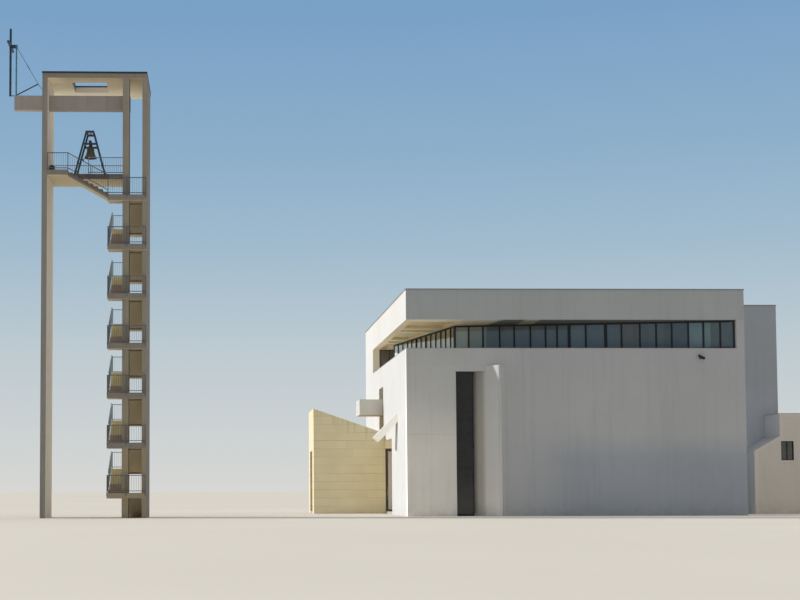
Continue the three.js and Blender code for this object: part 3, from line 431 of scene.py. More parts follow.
# The hall's front: painted shade on what faces the front and on its undersides, and painted light and shade across
# it: lighter low on the left, a little darker on the right but lighter below mid-height, darker and bluer near the
# ground on the right, and a lighter strip beside the blade's end. The lines are joints.
HALL_FRONT = render_surface(
    "front_plaster", (0.80, 0.80, 0.79), (0.725, 0.73, 0.725), (0.42, 0.41, 0.34), None, front=(0.67, 0.685, 0.695),
    lines=((5.09, WEST - 1, -7.8, FRONT + 0.1), (9.55, WEST - 1, -7.0, FRONT + 0.1)),
    tints=(
        (-4.0, -9.0, 12.0, 3.0, (1.25, 1.21, 1.17)),
        (-5.6, -7.6, 10.0, 4.2, (1.32, 1.28, 1.22)),
        (-5.6, -7.6, 7.0, 4.2, (1.18, 1.16, 1.14)),
        (-7.0, -4.0, 20.0, 19.0, (0.94, 0.945, 0.965)),
        (-7.0, -4.0, 11.0, 5.5, (1.11, 1.09, 1.08)),
        (-4.0, 0.0, 5.2, 3.6, (0.78, 0.83, 0.90)),
        (-4.45, -4.62, 9.4, 9.2, (1.18, 1.18, 1.15)),
        (-4.95, -5.1, 9.4, 9.2, (0.85, 0.85, 0.87)),
    ),
)
# The hall's roof: painted shade on what faces the front, and the soffit's painted light and shade.
HALL_ROOF = render_surface(
    "hall_roof", (0.75, 0.755, 0.755), (0.69, 0.695, 0.69), front=(0.60, 0.63, 0.645), soffit=True,
)
# The east block: painted shade on what faces the front, lightened low down with painted light.
BLOCK = render_surface(
    "east_block", (0.80, 0.80, 0.79), (0.73, 0.735, 0.73), front=(0.515, 0.55, 0.605),
    tints=((-20.0, -19.0, 9.0, 4.6, (1.50, 1.45, 1.45)),),
)
# The blade: painted shade on what faces the front, lightened low down with painted light, darker with painted shade
# where it stands back in the opening, and its end darker with painted shade.
BLADE = render_surface(
    "blade", (0.78, 0.78, 0.77), (0.72, 0.72, 0.71), roof=None, front=(0.655, 0.655, 0.66),
    tints=(
        (-20.0, -19.0, 9.0, 1.0, (1.45, 1.40, 1.34)),
        (-5.72, -5.95, 20.0, 19.0, (0.67, 0.64, 0.59)),
        (-5.07, -5.04, 20.0, 19.0, (0.80, 0.81, 0.84)),
    ),
)
# The porch: its undersides and what faces the front and back lightened with painted warm bounce light.
PORCH = render_surface(
    "porch", (0.90, 0.85, 0.73), (0.84, 0.79, 0.66), (0.92, 0.80, 0.58), reveal=(0.97, 0.89, 0.70),
)
# Beige render: what faces west is a white in painted shade, like the shaded block behind, and the undersides are
# darker with painted shade.
BEIGE = render_surface(
    "beige_render", (0.775, 0.70, 0.62), (0.70, 0.63, 0.55), (0.7, 0.6, 0.48), roof=(0.42, 0.41, 0.39),
    west=(0.645, 0.66, 0.695),
)
# The margin's undersides are darker with painted shade.
MARGIN = render_surface("beige_margin", (0.79, 0.73, 0.655), (0.74, 0.68, 0.605), (0.6, 0.54, 0.44), None, 0.15)
# The low roof and the wing's sloping coping: a blue-grey that paints white plaster in shade, like the block behind.
LOW_ROOF_SHADE = render_surface("low_roof", (0.42, 0.445, 0.475), (0.37, 0.395, 0.425), (0.5, 0.5, 0.5), None)
# Stone: what faces the front is tinted with painted shade, and the undersides are darker with painted shade.
STONE = stone_surface(
    "cream_stone", (0.925, 0.805, 0.575), (0.865, 0.75, 0.52), (0.80, 0.70, 0.50), (0.92, 0.94, 0.88),
)
# Concrete: undersides in painted bounce light and shade, painted shade on what faces the front and east, and the
# plain concrete's lowest storeys tinted lighter and warmer.
CONCRETE = concrete_surface(
    "cast_concrete", *CAST, (0.80, 0.68, 0.48), front=(0.69, 0.675, 0.65), east=EAST_SHADE, low=(1.17, 1.09, 0.91),
)
# The tower's roof: its soffit and what faces the front at its back lighter and creamier with painted bounce light.
TOWER_ROOF = concrete_surface(
    "tower_roof", *CAST, (0.60, 0.50, 0.335), front=(0.60, 0.575, 0.57), east=EAST_SHADE, inner=(1.0, 0.93, 0.74),
)
TOWER_BEAM = concrete_surface("tower_beam", *CAST, (0.42, 0.38, 0.33), front=(0.79, 0.80, 0.88), east=EAST_SHADE)
STAIR = concrete_surface(
    "tower_stair", *CAST, (0.62, 0.535, 0.355), front=STEP_FRONT_SHADE, east=EAST_SHADE, shade=riser_shade,
)
BELFRY = concrete_surface(
    "belfry", *CAST, (0.63, 0.55, 0.37), front=STEP_FRONT_SHADE, east=EAST_SHADE, shade=step_shade,
)
# The legs: painted shade on what faces the front and painted bounce light on what faces east.
LEG = concrete_surface(
    "leg_concrete", (0.56, 0.515, 0.44), (0.48, 0.44, 0.375), WARM_BOUNCE_UNDER, front=(0.58, 0.60, 0.63),
    east=(0.78, 0.725, 0.64),
)
PAVING = concrete_surface("paving", (0.50, 0.48, 0.44), (0.42, 0.40, 0.37), (0.4, 0.38, 0.34), seams=0.1)
DARK = metal_surface("dark_metal", (0.018, 0.023, 0.03), (0.06, 0.065, 0.07), 0.42, 0.4)
NAVY = metal_surface("trestle_paint", (0.036, 0.062, 0.11), (0.08, 0.075, 0.085), 0.48, 0.1, wear=0.4)
CROSS = metal_surface(
    "cross_paint", (0.024, 0.05, 0.092), (0.07, 0.05, 0.05), 0.5, 0.1,
    part=(TOWER_X - 1.76, TOWER_X - 1.66, (0.08, 0.22, 0.27)),
)
BOARDS = metal_surface("door_board", (0.22, 0.19, 0.115), (0.16, 0.13, 0.08), 0.6, 0.0, wear=0.5)
COPING = metal_surface("coping", (0.05, 0.058, 0.068), (0.12, 0.12, 0.12), 0.45, 0.6)
# Railings: the bars at the back of the tower are painted lighter and bluer, a painted light.
STEEL = metal_surface(
    "railing", (0.13, 0.145, 0.165), (0.20, 0.17, 0.15), 0.5, 0.2, wear=0.35, behind=(0.42, 0.53, 0.62),
)
RUST = metal_surface("crown", (0.28, 0.055, 0.03), (0.16, 0.06, 0.04), 0.7, 0.1, wear=0.6)
BRASS = metal_surface("handle", (0.42, 0.36, 0.26), (0.22, 0.18, 0.13), 0.35, 0.9)
BRONZE = bronze_surface("bell_bronze")
GLASS = clerestory_surface("clerestory_glass", (0.10, 0.148, 0.178), (0.12, 0.168, 0.20))
ONE_PANE = 5.0
SLOT_GLASS = glass_surface(
    "slot_glass", (0.017, 0.014, 0.011), (0.024, 0.020, 0.016), ONE_PANE, dust=(0.12, 0.11, 0.09),
)
# Door glass: its pale grey is a painted reflection of the bright surroundings.
REFLECTING_DOOR_GLASS = glass_surface(
    "door_glass", (0.55, 0.54, 0.53), (0.59, 0.58, 0.57), ONE_PANE, roughness=0.3, dust=(0.45, 0.43, 0.40),
)
END_WINDOW = glass_surface("end_window", (0.13, 0.115, 0.09), (0.16, 0.14, 0.115), 0.5, dust=(0.2, 0.18, 0.15))
DOOR_FRAME = metal_surface("door_frame", (0.075, 0.058, 0.042), (0.12, 0.10, 0.08), 0.5, 0.2)
WINDOW = glass_surface("east_window", (0.175, 0.175, 0.145), (0.21, 0.21, 0.175), ONE_PANE)
LEAD = metal_surface("flashing", (0.29, 0.30, 0.315), (0.36, 0.36, 0.36), 0.6, 0.3)

# Each CAD node takes the finish of its slot, unless it has its own.
FINISH = dict(
    white_plaster=PLASTER, cream_stone=STONE, beige_render=BEIGE, cast_concrete=CONCRETE, dark_metal=DARK,
    window_glass=GLASS, railing_steel=STEEL, bell_bronze=BRONZE,
)
OWN_FINISH = dict(
    hall_front_wall=HALL_FRONT, hall_roof=HALL_ROOF, hall_west_wall=WEST_WALL, hall_floor=PAVING,
    loggia_end_wall=END_WALL, loggia_end_window=END_WINDOW, slot_glass=SLOT_GLASS, west_slot_glass=SLOT_GLASS,
    light_box=LIGHT_BOX, leaning_fin=FIN, blade_wall=BLADE,
    porch_walls=PORCH, porch_door_frame=DOOR_FRAME, porch_door_leaf=DOOR_FRAME, porch_door_glass=REFLECTING_DOOR_GLASS,
    wing_floor=PAVING, main_door_near_leaf=BOARDS, main_door_far_leaf=BOARDS,
    east_block_walls=BLOCK, east_wing_low_roof=LOW_ROOF_SHADE, east_wing_window=WINDOW,
    tower_leg=LEG, tower_roof=TOWER_ROOF, tower_beam=TOWER_BEAM, belfry_deck=BELFRY, cross_frame=CROSS,
    bell_trestle=NAVY, bell_hammer=NAVY, **{"tower_stair_%d" % (i + 1): STAIR for i in range(STOREYS)},
)
for part in frame["record"]["subparts"]:
    finish = OWN_FINISH.get(part["node"], FINISH[part["material_slot"]])
    for slot in NODES[part["node"]].material_slots:
        slot.material = finish.material


# The corners of a regular polygon of radius 1.
def circle(count):
    angles = [2 * math.pi * i / count for i in range(count)]
    return [(math.cos(angle), math.sin(angle)) for angle in angles]


# One visible piece: solids in metres of the full-size building, gathered into one mesh.
class Piece:
    def __init__(self):
        self.points = []
        self.faces = []

    def solid(self, points, faces):
        base = len(self.points)
        self.points += [Vector(p) for p in points]
        self.faces += [tuple(base + i for i in face) for face in faces]

    def prism(self, outline, along):
        n = len(outline)
        low = [Vector(p) for p in outline]
        high = [p + Vector(along) for p in low]
        centre = sum(low, Vector()) / n
        area = Vector()
        for i in range(n):
            area += (low[i] - centre).cross(low[(i + 1) % n] - centre)
        if area.dot(Vector(along)) < 0:
            low.reverse()
            high.reverse()
        sides = [(i, (i + 1) % n, n + (i + 1) % n, n + i) for i in range(n)]
        self.solid(low + high, [tuple(range(n))[::-1], tuple(range(n, 2 * n)), *sides])

    # A plate with an outline in x and z, which runs back from y.
    def plate(self, outline, y, depth):
        self.prism([(x, y, z) for x, z in outline], (0, depth, 0))

    def box(self, x0, x1, y0, y1, z0, z1):
        self.prism([(x0, y0, z0), (x1, y0, z0), (x1, y1, z0), (x0, y1, z0)], (0, 0, z1 - z0))

    # A box about a point in plan.
    def block(self, x, y, half_x, half_y, z0, z1):
        self.box(x - half_x, x + half_x, y - half_y, y + half_y, z0, z1)

    # Four boxes along the inside of a rectangle in plan.
    def border(self, x0, x1, y0, y1, width, z0, z1):
        self.box(x0, x1, y0, y0 + width, z0, z1)
        self.box(x0, x1, y1 - width, y1, z0, z1)
        self.box(x0, x0 + width, y0 + width, y1 - width, z0, z1)
        self.box(x1 - width, x1, y0 + width, y1 - width, z0, z1)

    # Two jambs, a sill and a head along the inside of an upright rectangle.
    def frame(self, x0, x1, y0, y1, z0, z1, width, sill=None):
        self.box(x0, x0 + width, y0, y1, z0, z1)
        self.box(x1 - width, x1, y0, y1, z0, z1)
        self.box(x0 + width, x1 - width, y0, y1, z0, z0 + (sill or width))
        self.box(x0 + width, x1 - width, y0, y1, z1 - width, z1)

    def bar(self, a, b, width, depth=None, side=UP):
        a, b = Vector(a), Vector(b)
        along = (b - a).normalized()
        u = along.cross(side)
        u = u.normalized() if u.length > 1e-6 else along.cross(Vector((1, 0, 0))).normalized()
        v = along.cross(u)
        half_u, half_v = u * width / 2, v * (depth or width) / 2
        self.prism([a - half_u - half_v, a + half_u - half_v, a + half_u + half_v, a - half_u + half_v], b - a)

    def rod(self, a, b, radius, sides=8, end_radius=None):
        a, b = Vector(a), Vector(b)
        turn = UP.rotation_difference((b - a).normalized())
        rings = []
        for centre, r in ((a, radius), (b, end_radius or radius)):
            rings += [centre + turn @ Vector((r * x, r * y, 0)) for x, y in circle(sides)]
        walls = [(i, (i + 1) % sides, sides + (i + 1) % sides, sides + i) for i in range(sides)]
        self.solid(rings, [tuple(range(sides))[::-1], tuple(range(sides, 2 * sides)), *walls])

    def ring(self, centre, radius, thickness, height, sides=32):
        points, faces, section = [], [], 8
        for x, y in circle(sides):
            for out, up in circle(section):
                r = radius + thickness * out
                points.append(Vector(centre) + Vector((r * x, r * y, height * up)))
        for i in range(sides):
            for j in range(section):
                a, b = i * section + j, i * section + (j + 1) % section
                c, d = (i + 1) % sides * section + (j + 1) % section, (i + 1) % sides * section + j
                faces.append((a, d, c, b))
        self.solid(points, faces)

    def done(self, name, surface, slot="dark_metal", body="church", bevel=0.0, smooth=False):
        mesh = bpy.data.meshes.new(name)
        mesh.from_pydata([p * SCALE for p in self.points], [], self.faces)
        mesh.validate()
        mesh.materials.append(surface.material)
        if smooth:
            mesh.shade_smooth()
        piece = placed(name, mesh)
        if bevel:
            soft = piece.modifiers.new("edge", "BEVEL")
            soft.width = bevel * SCALE
            soft.segments = 1
            soft.limit_method = "ANGLE"
        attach(piece, body)


# The clerestory: upright bars along the bent line of the glass, two of them wider on each run.
START = Vector((10.18, FRONT + 0.25, 0))
CORNER = Vector((-7.11, FRONT + 3.30, 0))
END = Vector((-9.55, FRONT + 15.60, 0))
RAIL = 0.09
FRAME_DEPTH = 0.05
WIDE = 1.8
OVERLAP = 0.002
FRONT_BARS = (
    0.92, 1.84, 2.9, 3.83, 4.86, 5.82, 6.55, 7.31, 8.36, 9.6, 10.59, 11.73, 12.74, 13.7, 14.72, 15.65, 16.68,
)
FRONT_WIDE = (7.31, 9.6)
SIDE_BARS = (0.74, 1.69, 2.59, 3.56, 4.57, 5.5, 6.53, 7.5, 8.51, 9.42, 10.45, 11.51)
SIDE_WIDE = (5.5, 7.5)


def glazing_bars(name, origin, towards, stops, wide, width, proud):
    along = (towards - origin).normalized()
    inward = Vector((-along.y, along.x, 0))
    if inward.dot(Vector((1, 1, 0))) < 0:
        inward.negate()
    piece = Piece()
    for stop in stops:
        size = WIDE if stop in wide else 1.0
        foot = origin + along * stop + inward * (FRAME_DEPTH - proud * size) / 2
        low, high = foot + UP * (SILL + RAIL - OVERLAP), foot + UP * (SOFFIT - RAIL + OVERLAP)
        piece.bar(low, high, width * size, FRAME_DEPTH - 0.005 + proud * size, side=inward)
    for level in (SILL + RAIL + 0.012, SOFFIT - RAIL - 0.012):
        line = origin + inward * FRAME_DEPTH * 0.6 + UP * level
        piece.bar(line + along * 0.1, line + along * (stops[-1] + 0.6), FRAME_DEPTH * 0.7, 0.024)
    piece.done(name, DARK, bevel=0.004)


glazing_bars("clerestory_front_bars", CORNER, START, FRONT_BARS, FRONT_WIDE, 0.105, 0.0)
glazing_bars("clerestory_side_bars", CORNER, END, SIDE_BARS, SIDE_WIDE, 0.045, 0.03)


# Metal copings on the parapets, with a drip that stands free of the wall's face by a hair.
HAIR = 0.004
LIP, COPING_THICK, COPING_DROP = 0.03, 0.03, 0.045
HALL_CAP, BLOCK_CAP = 0.53, 0.48


def roof_copings():
    top, drop = HALL_TOP, HALL_TOP - COPING_DROP
    hall = Piece()
    x0, x1, y0, y1 = WEST - LIP, EAST + LIP, FRONT - LIP, BACK + LIP
    hall.border(x0, x1, y0, y1, LIP + HALL_CAP, top, top + COPING_THICK)
    hall.box(x0, x1, y0, FRONT - HAIR, drop, top)
    hall.box(x0, x1, BACK + HAIR, y1, drop, top)
    hall.box(x0, WEST - HAIR, FRONT - HAIR, BACK + HAIR, drop, top)
    hall.box(EAST + HAIR, x1, FRONT - HAIR, BLOCK_FRONT - LIP, drop, top)
    hall.done("hall_coping", LEAD, bevel=0.006)

    block = Piece()
    outer, inner, near, far = BLOCK_EAST + LIP, BLOCK_EAST - BLOCK_CAP, BLOCK_FRONT + BLOCK_CAP, BACK - BLOCK_CAP
    block.box(x1, outer, BLOCK_FRONT - LIP, near, top, top + COPING_THICK)
    block.box(x1, outer, far, BACK + LIP, top, top + COPING_THICK)
    block.box(inner, outer, near, far, top, top + COPING_THICK)
    block.box(x1, outer, BLOCK_FRONT - LIP, BLOCK_FRONT - HAIR, drop, top)
    block.box(BLOCK_EAST + HAIR, outer, BLOCK_FRONT - HAIR, BACK, drop, top)
    block.done("east_block_coping", LEAD, bevel=0.006)


# The flashing round the tower's roof, on its edge and round its skylight.
def tower_flashing():
    piece = Piece()
    x0, x1, y0, y1 = TOWER_X, TOWER_X + TOWER_WIDTH, TOWER_Y, TOWER_Y + TOWER_DEPTH
    edge, gap, high = 0.02, 0.003, TOWER_TOP + 0.025
    piece.border(x0 - edge, x1 + edge, y0 - edge, y1 + edge, edge - gap, TOWER_TOP - 0.09, high)
    piece.border(x0 - gap, x1 + gap, y0 - gap, y1 + gap, 0.2 + gap, TOWER_TOP, high)
    x0, x1, y0, y1 = TOWER_X + 1.69, TOWER_X + 3.79, TOWER_Y + 1.05, TOWER_Y + 3.2
    curb = TOWER_TOP + 0.05
    piece.border(x0 - 0.1, x1 + 0.1, y0 - 0.1, y1 + 0.1, 0.1, TOWER_TOP, curb)
    piece.box(x0, x1, y1 - 0.02, y1 - 0.002, TOWER_TOP - 0.03, curb)
    piece.box(x0 + 0.002, x0 + 0.02, y0, y1 - 0.02, TOWER_TOP - 0.07, curb)
    piece.done("tower_flashing", COPING, bevel=0.004)


# The stone capping on the wing's sloping wall tops.
def wing_capping():
    def strip(end, gap, y0, y1):
        x0, x1 = WING_WEST - lip, end - gap
        low = EAVE - (end - WING_WEST) * WING_FALL
        piece.plate([(x0, EAVE), (x1, low), (x1, low + thick), (x0, EAVE + thick)], y0, y1 - y0)

    piece = Piece()
    lip, wall, thick = 0.01, 0.41, 0.025
    near, far = WING_FRONT + wall, WING_BACK - wall
    strip(WEST, 0.005, WING_FRONT - lip, near)
    strip(WEST, 0.005, far, WING_BACK + lip)
    strip(WING_WEST + wall, 0.0, near, far)
    piece.done("wing_capping", STONE, "cream_stone", bevel=0.006)


roof_copings()
tower_flashing()
wing_capping()


# Railing bars, at an even pitch between the foot bar and the top bar of each run, and none where it steps up at a
# post. Places are in the tower's frame.
BAR_PITCH = 0.135
FOOT_BAR, TOP_BAR, BAR = 0.12, 1.05, 0.0075
RISE = STOREY / 2 / 9
GATE, POST, RAIL_FRONT, RAIL_BACK = 6.29, 4.015, -0.15, 4.09
BELFRY_EAST, BELFRY_WEST = 4.93, 0.38


def at_tower(x, y, z):
    return Vector((TOWER_X + x, TOWER_Y + y, z))


def infill(name, *corners):
    piece = Piece()
    for a, b in zip(corners, corners[1:]):
        a, b = at_tower(*a), at_tower(*b)
        flat = Vector((b.x - a.x, b.y - a.y, 0)).length
        count = round(flat / BAR_PITCH)
        for i in range(1, count):
            foot = a.lerp(b, i / count)
            piece.rod(foot + UP * (FOOT_BAR - 0.01), foot + UP * (TOP_BAR + 0.005), BAR, 6)
    piece.done(name, STEEL, "railing_steel")


for storey in range(STOREYS):
    level = FIRST_LANDING + STOREY * storey
    half = level + STOREY / 2
    infill(
        "stair_bars_%d" % (storey + 1),
        (GATE, RAIL_FRONT, level), (POST, RAIL_FRONT, level), (POST, 0.85, level),
        (POST, 0.85, level + RISE), (POST, 3.19, half), (POST, RAIL_BACK, half), (6.02, RAIL_BACK, half),
    )
infill(
    "belfry_stair_bars",
    (GATE, RAIL_FRONT, BELFRY_LANDING), (POST, RAIL_FRONT, BELFRY_LANDING),
    (POST, RAIL_FRONT, BELFRY_LANDING + RISE), (1.59, RAIL_FRONT, DECK), (BELFRY_WEST, RAIL_FRONT, DECK),
)
infill(
    "belfry_platform_bars",
    (2.70, 1.25, PLATFORM), (BELFRY_EAST, 1.25, PLATFORM), (BELFRY_EAST, 3.45, PLATFORM),
    (BELFRY_WEST, 3.45, PLATFORM),
)


# Anchor plates with bolts where the posts of the front railings meet the landings.
def railing_anchors():
    piece = Piece()
    for i in range(STOREYS + 1):
        level = FIRST_LANDING + STOREY * i
        for post in (POST, (POST + GATE) / 2, GATE):
            x, y = at_tower(post, RAIL_FRONT, level)[:2]
            piece.box(x - 0.05, x + 0.05, y - 0.045, y + 0.05, level - 0.001, level + 0.012)
            piece.box(x - 0.03, x + 0.03, y - 0.058, y - 0.05, level - 0.16, level - 0.02)
            for low in (0.05, 0.12):
                piece.rod((x, y - 0.058, level - low), (x, y - 0.07, level - low), 0.012, 6)
    piece.done("railing_anchors", STEEL, "railing_steel")


railing_anchors()


# The trestle: a cross brace at the top, rungs between the two frames, foot plates and bearing caps.
BELL_X, BELL_Y, BELL_AXIS = 2.75, 2.1, 23.15
LEG_FOOT, LEG_APEX, TRESTLE_TOP = 0.945, 0.2, 23.85
FRAME_Y, FRAME_REACH = 0.5, 0.45
RUNGS = (21.4, 21.9)


def trestle_details():
    piece = Piece()
    for y in (BELL_Y - FRAME_Y, BELL_Y + FRAME_Y):
        for foot in (BELL_X - LEG_FOOT, BELL_X + LEG_FOOT):
            at = at_tower(foot, y, PLATFORM)
            piece.block(at.x, at.y, 0.11, 0.09, at.z, at.z + 0.02)
            for dx in (-0.08, 0.08):
                for dy in (-0.065, 0.065):
                    bolt = at + Vector((dx, dy, 0.02))
                    piece.rod(bolt, bolt + UP * 0.025, 0.014, 6)
        cap = at_tower(BELL_X, y, BELL_AXIS + 0.06)
        piece.block(cap.x, cap.y, 0.09, 0.05, cap.z + 0.006, cap.z + 0.025)
        for dx in (-0.075, 0.075):
            bolt = cap + Vector((dx, 0, 0.02))
            piece.rod(bolt, bolt + UP * 0.035, 0.012, 6)
    near, far = BELL_Y - FRAME_REACH, BELL_Y + FRAME_REACH
    for sign in (-1, 1):
        high = TRESTLE_TOP - 0.06
        piece.bar(at_tower(BELL_X - sign * 0.15, near, high), at_tower(BELL_X + sign * 0.15, far, high), 0.04, 0.03)
        for level in RUNGS:
            reach = LEG_FOOT - (LEG_FOOT - LEG_APEX) * (level - PLATFORM) / (TRESTLE_TOP - PLATFORM)
            x = BELL_X + sign * reach
            piece.bar(at_tower(x, near, level), at_tower(x, far, level), 0.05)
    piece.done("trestle_braces", NAVY, bevel=0.003)


trestle_details()


# The bell's raised mouldings, crown strap and bolts ride with it. Its outline is in parts of radius and height.
BELL_RADIUS, BELL_HEIGHT = 0.41, 0.8
BELL_TOP = BELL_AXIS - 0.1
BELL_LIP = BELL_TOP - BELL_HEIGHT
BELL_OUTLINE = (
    (0.17, 0.93), (0.4, 0.9), (0.5, 0.83), (0.54, 0.7), (0.58, 0.5), (0.65, 0.32), (0.78, 0.16), (0.92, 0.05),
    (1.0, 0.0),
)
MOULDINGS = ((0.80, 0.008), (0.765, 0.006), (0.66, 0.006), (0.36, 0.007), (0.33, 0.007), (0.2, 0.009), (0.09, 0.008))
CLAPPER_BALL = 22.29


def bell_radius(h):
    for (r0, h0), (r1, h1) in zip(BELL_OUTLINE, BELL_OUTLINE[1:]):
        if h1 <= h <= h0:
            return BELL_RADIUS * (r0 + (r1 - r0) * (h0 - h) / (h0 - h1))


def bell_details():
    piece = Piece()
    for h, thick in MOULDINGS:
        piece.ring(at_tower(BELL_X, BELL_Y, BELL_LIP + BELL_HEIGHT * h), bell_radius(h) - 0.001, thick, thick, 40)
    piece.done("bell_mouldings", BRONZE, "bell_bronze", "bell_body", smooth=True)

    crown = Piece()
    x, centre = at_tower(BELL_X, BELL_Y, 0)[:2]
    top = BELL_TOP
    for y in (centre - 0.2, centre + 0.2):
        for strap in (x - 0.082, x + 0.082):
            crown.block(strap, y, 0.006, 0.03, top - 0.005, top + 0.22)
        crown.block(x, y, 0.088, 0.03, top + 0.2, top + 0.215)
        crown.block(x, y, 0.088, 0.03, top - 0.016, top - 0.001)
        for bolt in (x - 0.045, x + 0.045):
            crown.rod((bolt, y, top + 0.21), (bolt, y, top + 0.245), 0.014, 6)
    crown.done("headstock_straps", NAVY, body="bell_body", bevel=0.002)

    hanger = Piece()
    for i in range(4):
        angle = math.pi / 4 + i * math.pi / 2
        out = Vector((math.cos(angle), math.sin(angle), 0))
        low, high = Vector((x, centre, BELL_LIP + 0.715)), Vector((x, centre, top + 0.004))
        hanger.bar(low + out * 0.125, high + out * 0.05, 0.035, 0.05, side=out)
    hanger.ring((x, centre, BELL_LIP + BELL_HEIGHT * 0.925), 0.12, 0.012, 0.014)
    hanger.done("bell_crown_loops", RUST, "bell_bronze", "bell_body", bevel=0.003)

    clapper = Piece()
    clapper.ring((x, centre, CLAPPER_BALL + 0.075), 0.016, 0.01, 0.02, 16)
    clapper.ring((x, centre, CLAPPER_BALL - 0.064), 0.018, 0.012, 0.014, 16)
    clapper.rod((x, centre, CLAPPER_BALL - 0.06), (x, centre, CLAPPER_BALL - 0.13), 0.02, 10, 0.013)
    clapper.done("clapper_collars", DARK, body="clapper", smooth=True)


bell_details()


# Clamps on the cross, and the turnbuckle of its stay.
def cross_details():
    piece = Piece()
    mast = at_tower(-2.07, 0.95, 0)
    post = at_tower(-1.71, 0.95, 0)
    for z in (26.6, 27.4, 28.2):
        piece.block(mast.x, mast.y, 0.07, 0.07, z, z + 0.05)
        piece.block(post.x, post.y, 0.05, 0.05, z, z + 0.05)
    piece.box(mast.x + 0.05, post.x + 0.06, mast.y - 0.055, mast.y + 0.055, 28.79, 29.0)
    piece.block(mast.x, mast.y, 0.075, 0.075, 28.83, 28.97)
    piece.block(post.x, post.y, 0.11, 0.11, 25.8, 25.82)
    piece.block(mast.x, mast.y, 0.063, 0.063, 29.985, 29.998)
    for sign in (-1, 1):
        piece.block(mast.x, mast.y + sign * 1.044, 0.063, 0.006, 28.837, 28.963)
    a, b = at_tower(-1.71, 0.95, 28.9), at_tower(-0.37, 0.95, 26.57)
    along = (b - a).normalized()
    middle = a.lerp(b, 0.55)
    piece.rod(middle - along * 0.14, middle + along * 0.14, 0.026)
    for sign in (-1, 1):
        piece.rod(middle + along * sign * 0.14, middle + along * sign * 0.18, 0.02)
    piece.done("cross_clamps", CROSS, bevel=0.002)


cross_details()


# The floodlight on the belfry landing.
def belfry_floodlight():
    piece = Piece()
    x, y, z = at_tower(0.42, 0.05, DECK)
    housing = ((-0.02, 0.07), (0.3, 0.04), (0.32, 0.3), (0.2, 0.36), (0.02, 0.26))
    piece.plate([(x + dx, z + dz) for dx, dz in housing], y, 0.3)
    for dy in (-0.012, 0.302):
        piece.box(x + 0.12, x + 0.17, y + dy, y + dy + 0.01, z, z + 0.22)
    piece.box(x + 0.12, x + 0.17, y - 0.012, y + 0.312, z, z + 0.012)
    for i in range(4):
        fin = x + 0.05 + 0.035 * i
        piece.box(fin, fin + 0.01, y + 0.03, y + 0.27, z + 0.26, z + 0.33)
    piece.done("belfry_floodlight", DARK, bevel=0.004)


# The lamp high on the front wall: a back plate, an arm, the tilted housing, its bezel and its hood.
def front_wall_lamp():
    piece = Piece()
    x, z = 7.87, 9.9
    piece.box(x - 0.07, x + 0.07, FRONT - 0.02, FRONT, z - 0.07, z + 0.11)
    piece.bar((x, FRONT - 0.01, z + 0.05), (x + 0.02, FRONT - 0.2, z + 0.09), 0.035)
    housing = [(x - 0.17, z + 0.14), (x + 0.17, z - 0.03), (x + 0.13, z - 0.13), (x - 0.2, z + 0.04)]
    piece.plate(housing, FRONT - 0.16, -0.13)
    piece.rod((x + 0.14, FRONT - 0.225, z - 0.07), (x + 0.185, FRONT - 0.225, z - 0.095), 0.06, 16, 0.075)
    hood = [(x - 0.2, z + 0.165), (x + 0.22, z - 0.035), (x + 0.22, z - 0.015), (x - 0.2, z + 0.185)]
    piece.plate(hood, FRONT - 0.145, -0.16)
    piece.done("front_wall_lamp", DARK, bevel=0.003)


belfry_floodlight()
front_wall_lamp()


# Frames and bars stand a hair in front of the glass that the CAD parts hold.
PUTTY = 0.002
BEAD = 0.05


# The tall slot beside the blade: a frame, two bars and a threshold.
def slot_frame():
    piece = Piece()
    x0, x1, y = SLOT_X, SLOT_X + SLOT_WIDTH, FRONT + 0.4
    piece.frame(x0, x1, y - 0.04, y - PUTTY, 0.0, 9.05, BEAD, sill=0.12)
    for z in (3.0, 6.0):
        piece.box(x0 + BEAD, x1 - BEAD, y - 0.03, y - PUTTY, z, z + 0.045)
    piece.done("slot_frame", DARK, bevel=0.004)


# The slot window in the west wall is in two parts, below and above the light box.
def west_slot_frame():
    piece = Piece()
    near, far = FRONT + 12.6, FRONT + 15.1
    x = WEST + 0.44
    low, under, over, high = 5.9, 6.98, 8.12, 9.0
    for y0, y1 in ((near, near + BEAD), (far - BEAD, far)):
        piece.box(x - 0.045, x - PUTTY, y0, y1, low, under)
        piece.box(x - 0.045, x - PUTTY, y0, y1, over, high)
    for z in (low, high - BEAD):
        piece.box(x - 0.045, x - PUTTY, near + BEAD, far - BEAD, z, z + BEAD)
    for y in (near + 0.83, near + 1.66):
        piece.box(x - 0.035, x - PUTTY, y - 0.02, y + 0.02, low + BEAD, under)
        piece.box(x - 0.035, x - PUTTY, y - 0.02, y + 0.02, over, high - BEAD)
    piece.done("west_slot_frame", DARK, bevel=0.004)


# The window that closes the loggia's end: three uprights between two rails.
def loggia_end_bars():
    piece = Piece()
    x0, x1, y = WEST + 0.5, END.x + 0.72 + 0.15, LOGGIA_BACK + 0.15 - 0.1
    for x in (x0, (x0 + x1 - BEAD) / 2, x1 - BEAD):
        piece.box(x, x + BEAD, y - 0.045, y - PUTTY, SILL, SOFFIT)
    for z in (SILL, SOFFIT - 0.06):
        piece.box(x0 + BEAD, x1 - BEAD, y - 0.045, y - PUTTY, z, z + 0.06)
    piece.done("loggia_end_bars", DARK, bevel=0.004)


slot_frame()
west_slot_frame()
loggia_end_bars()


# Doors: each leaf stands GAP clear of its frame all round, carries its own boards or beads and its pull, and moves
# with them.
GAP, DOOR_FRAME_WIDTH = 0.014, 0.06


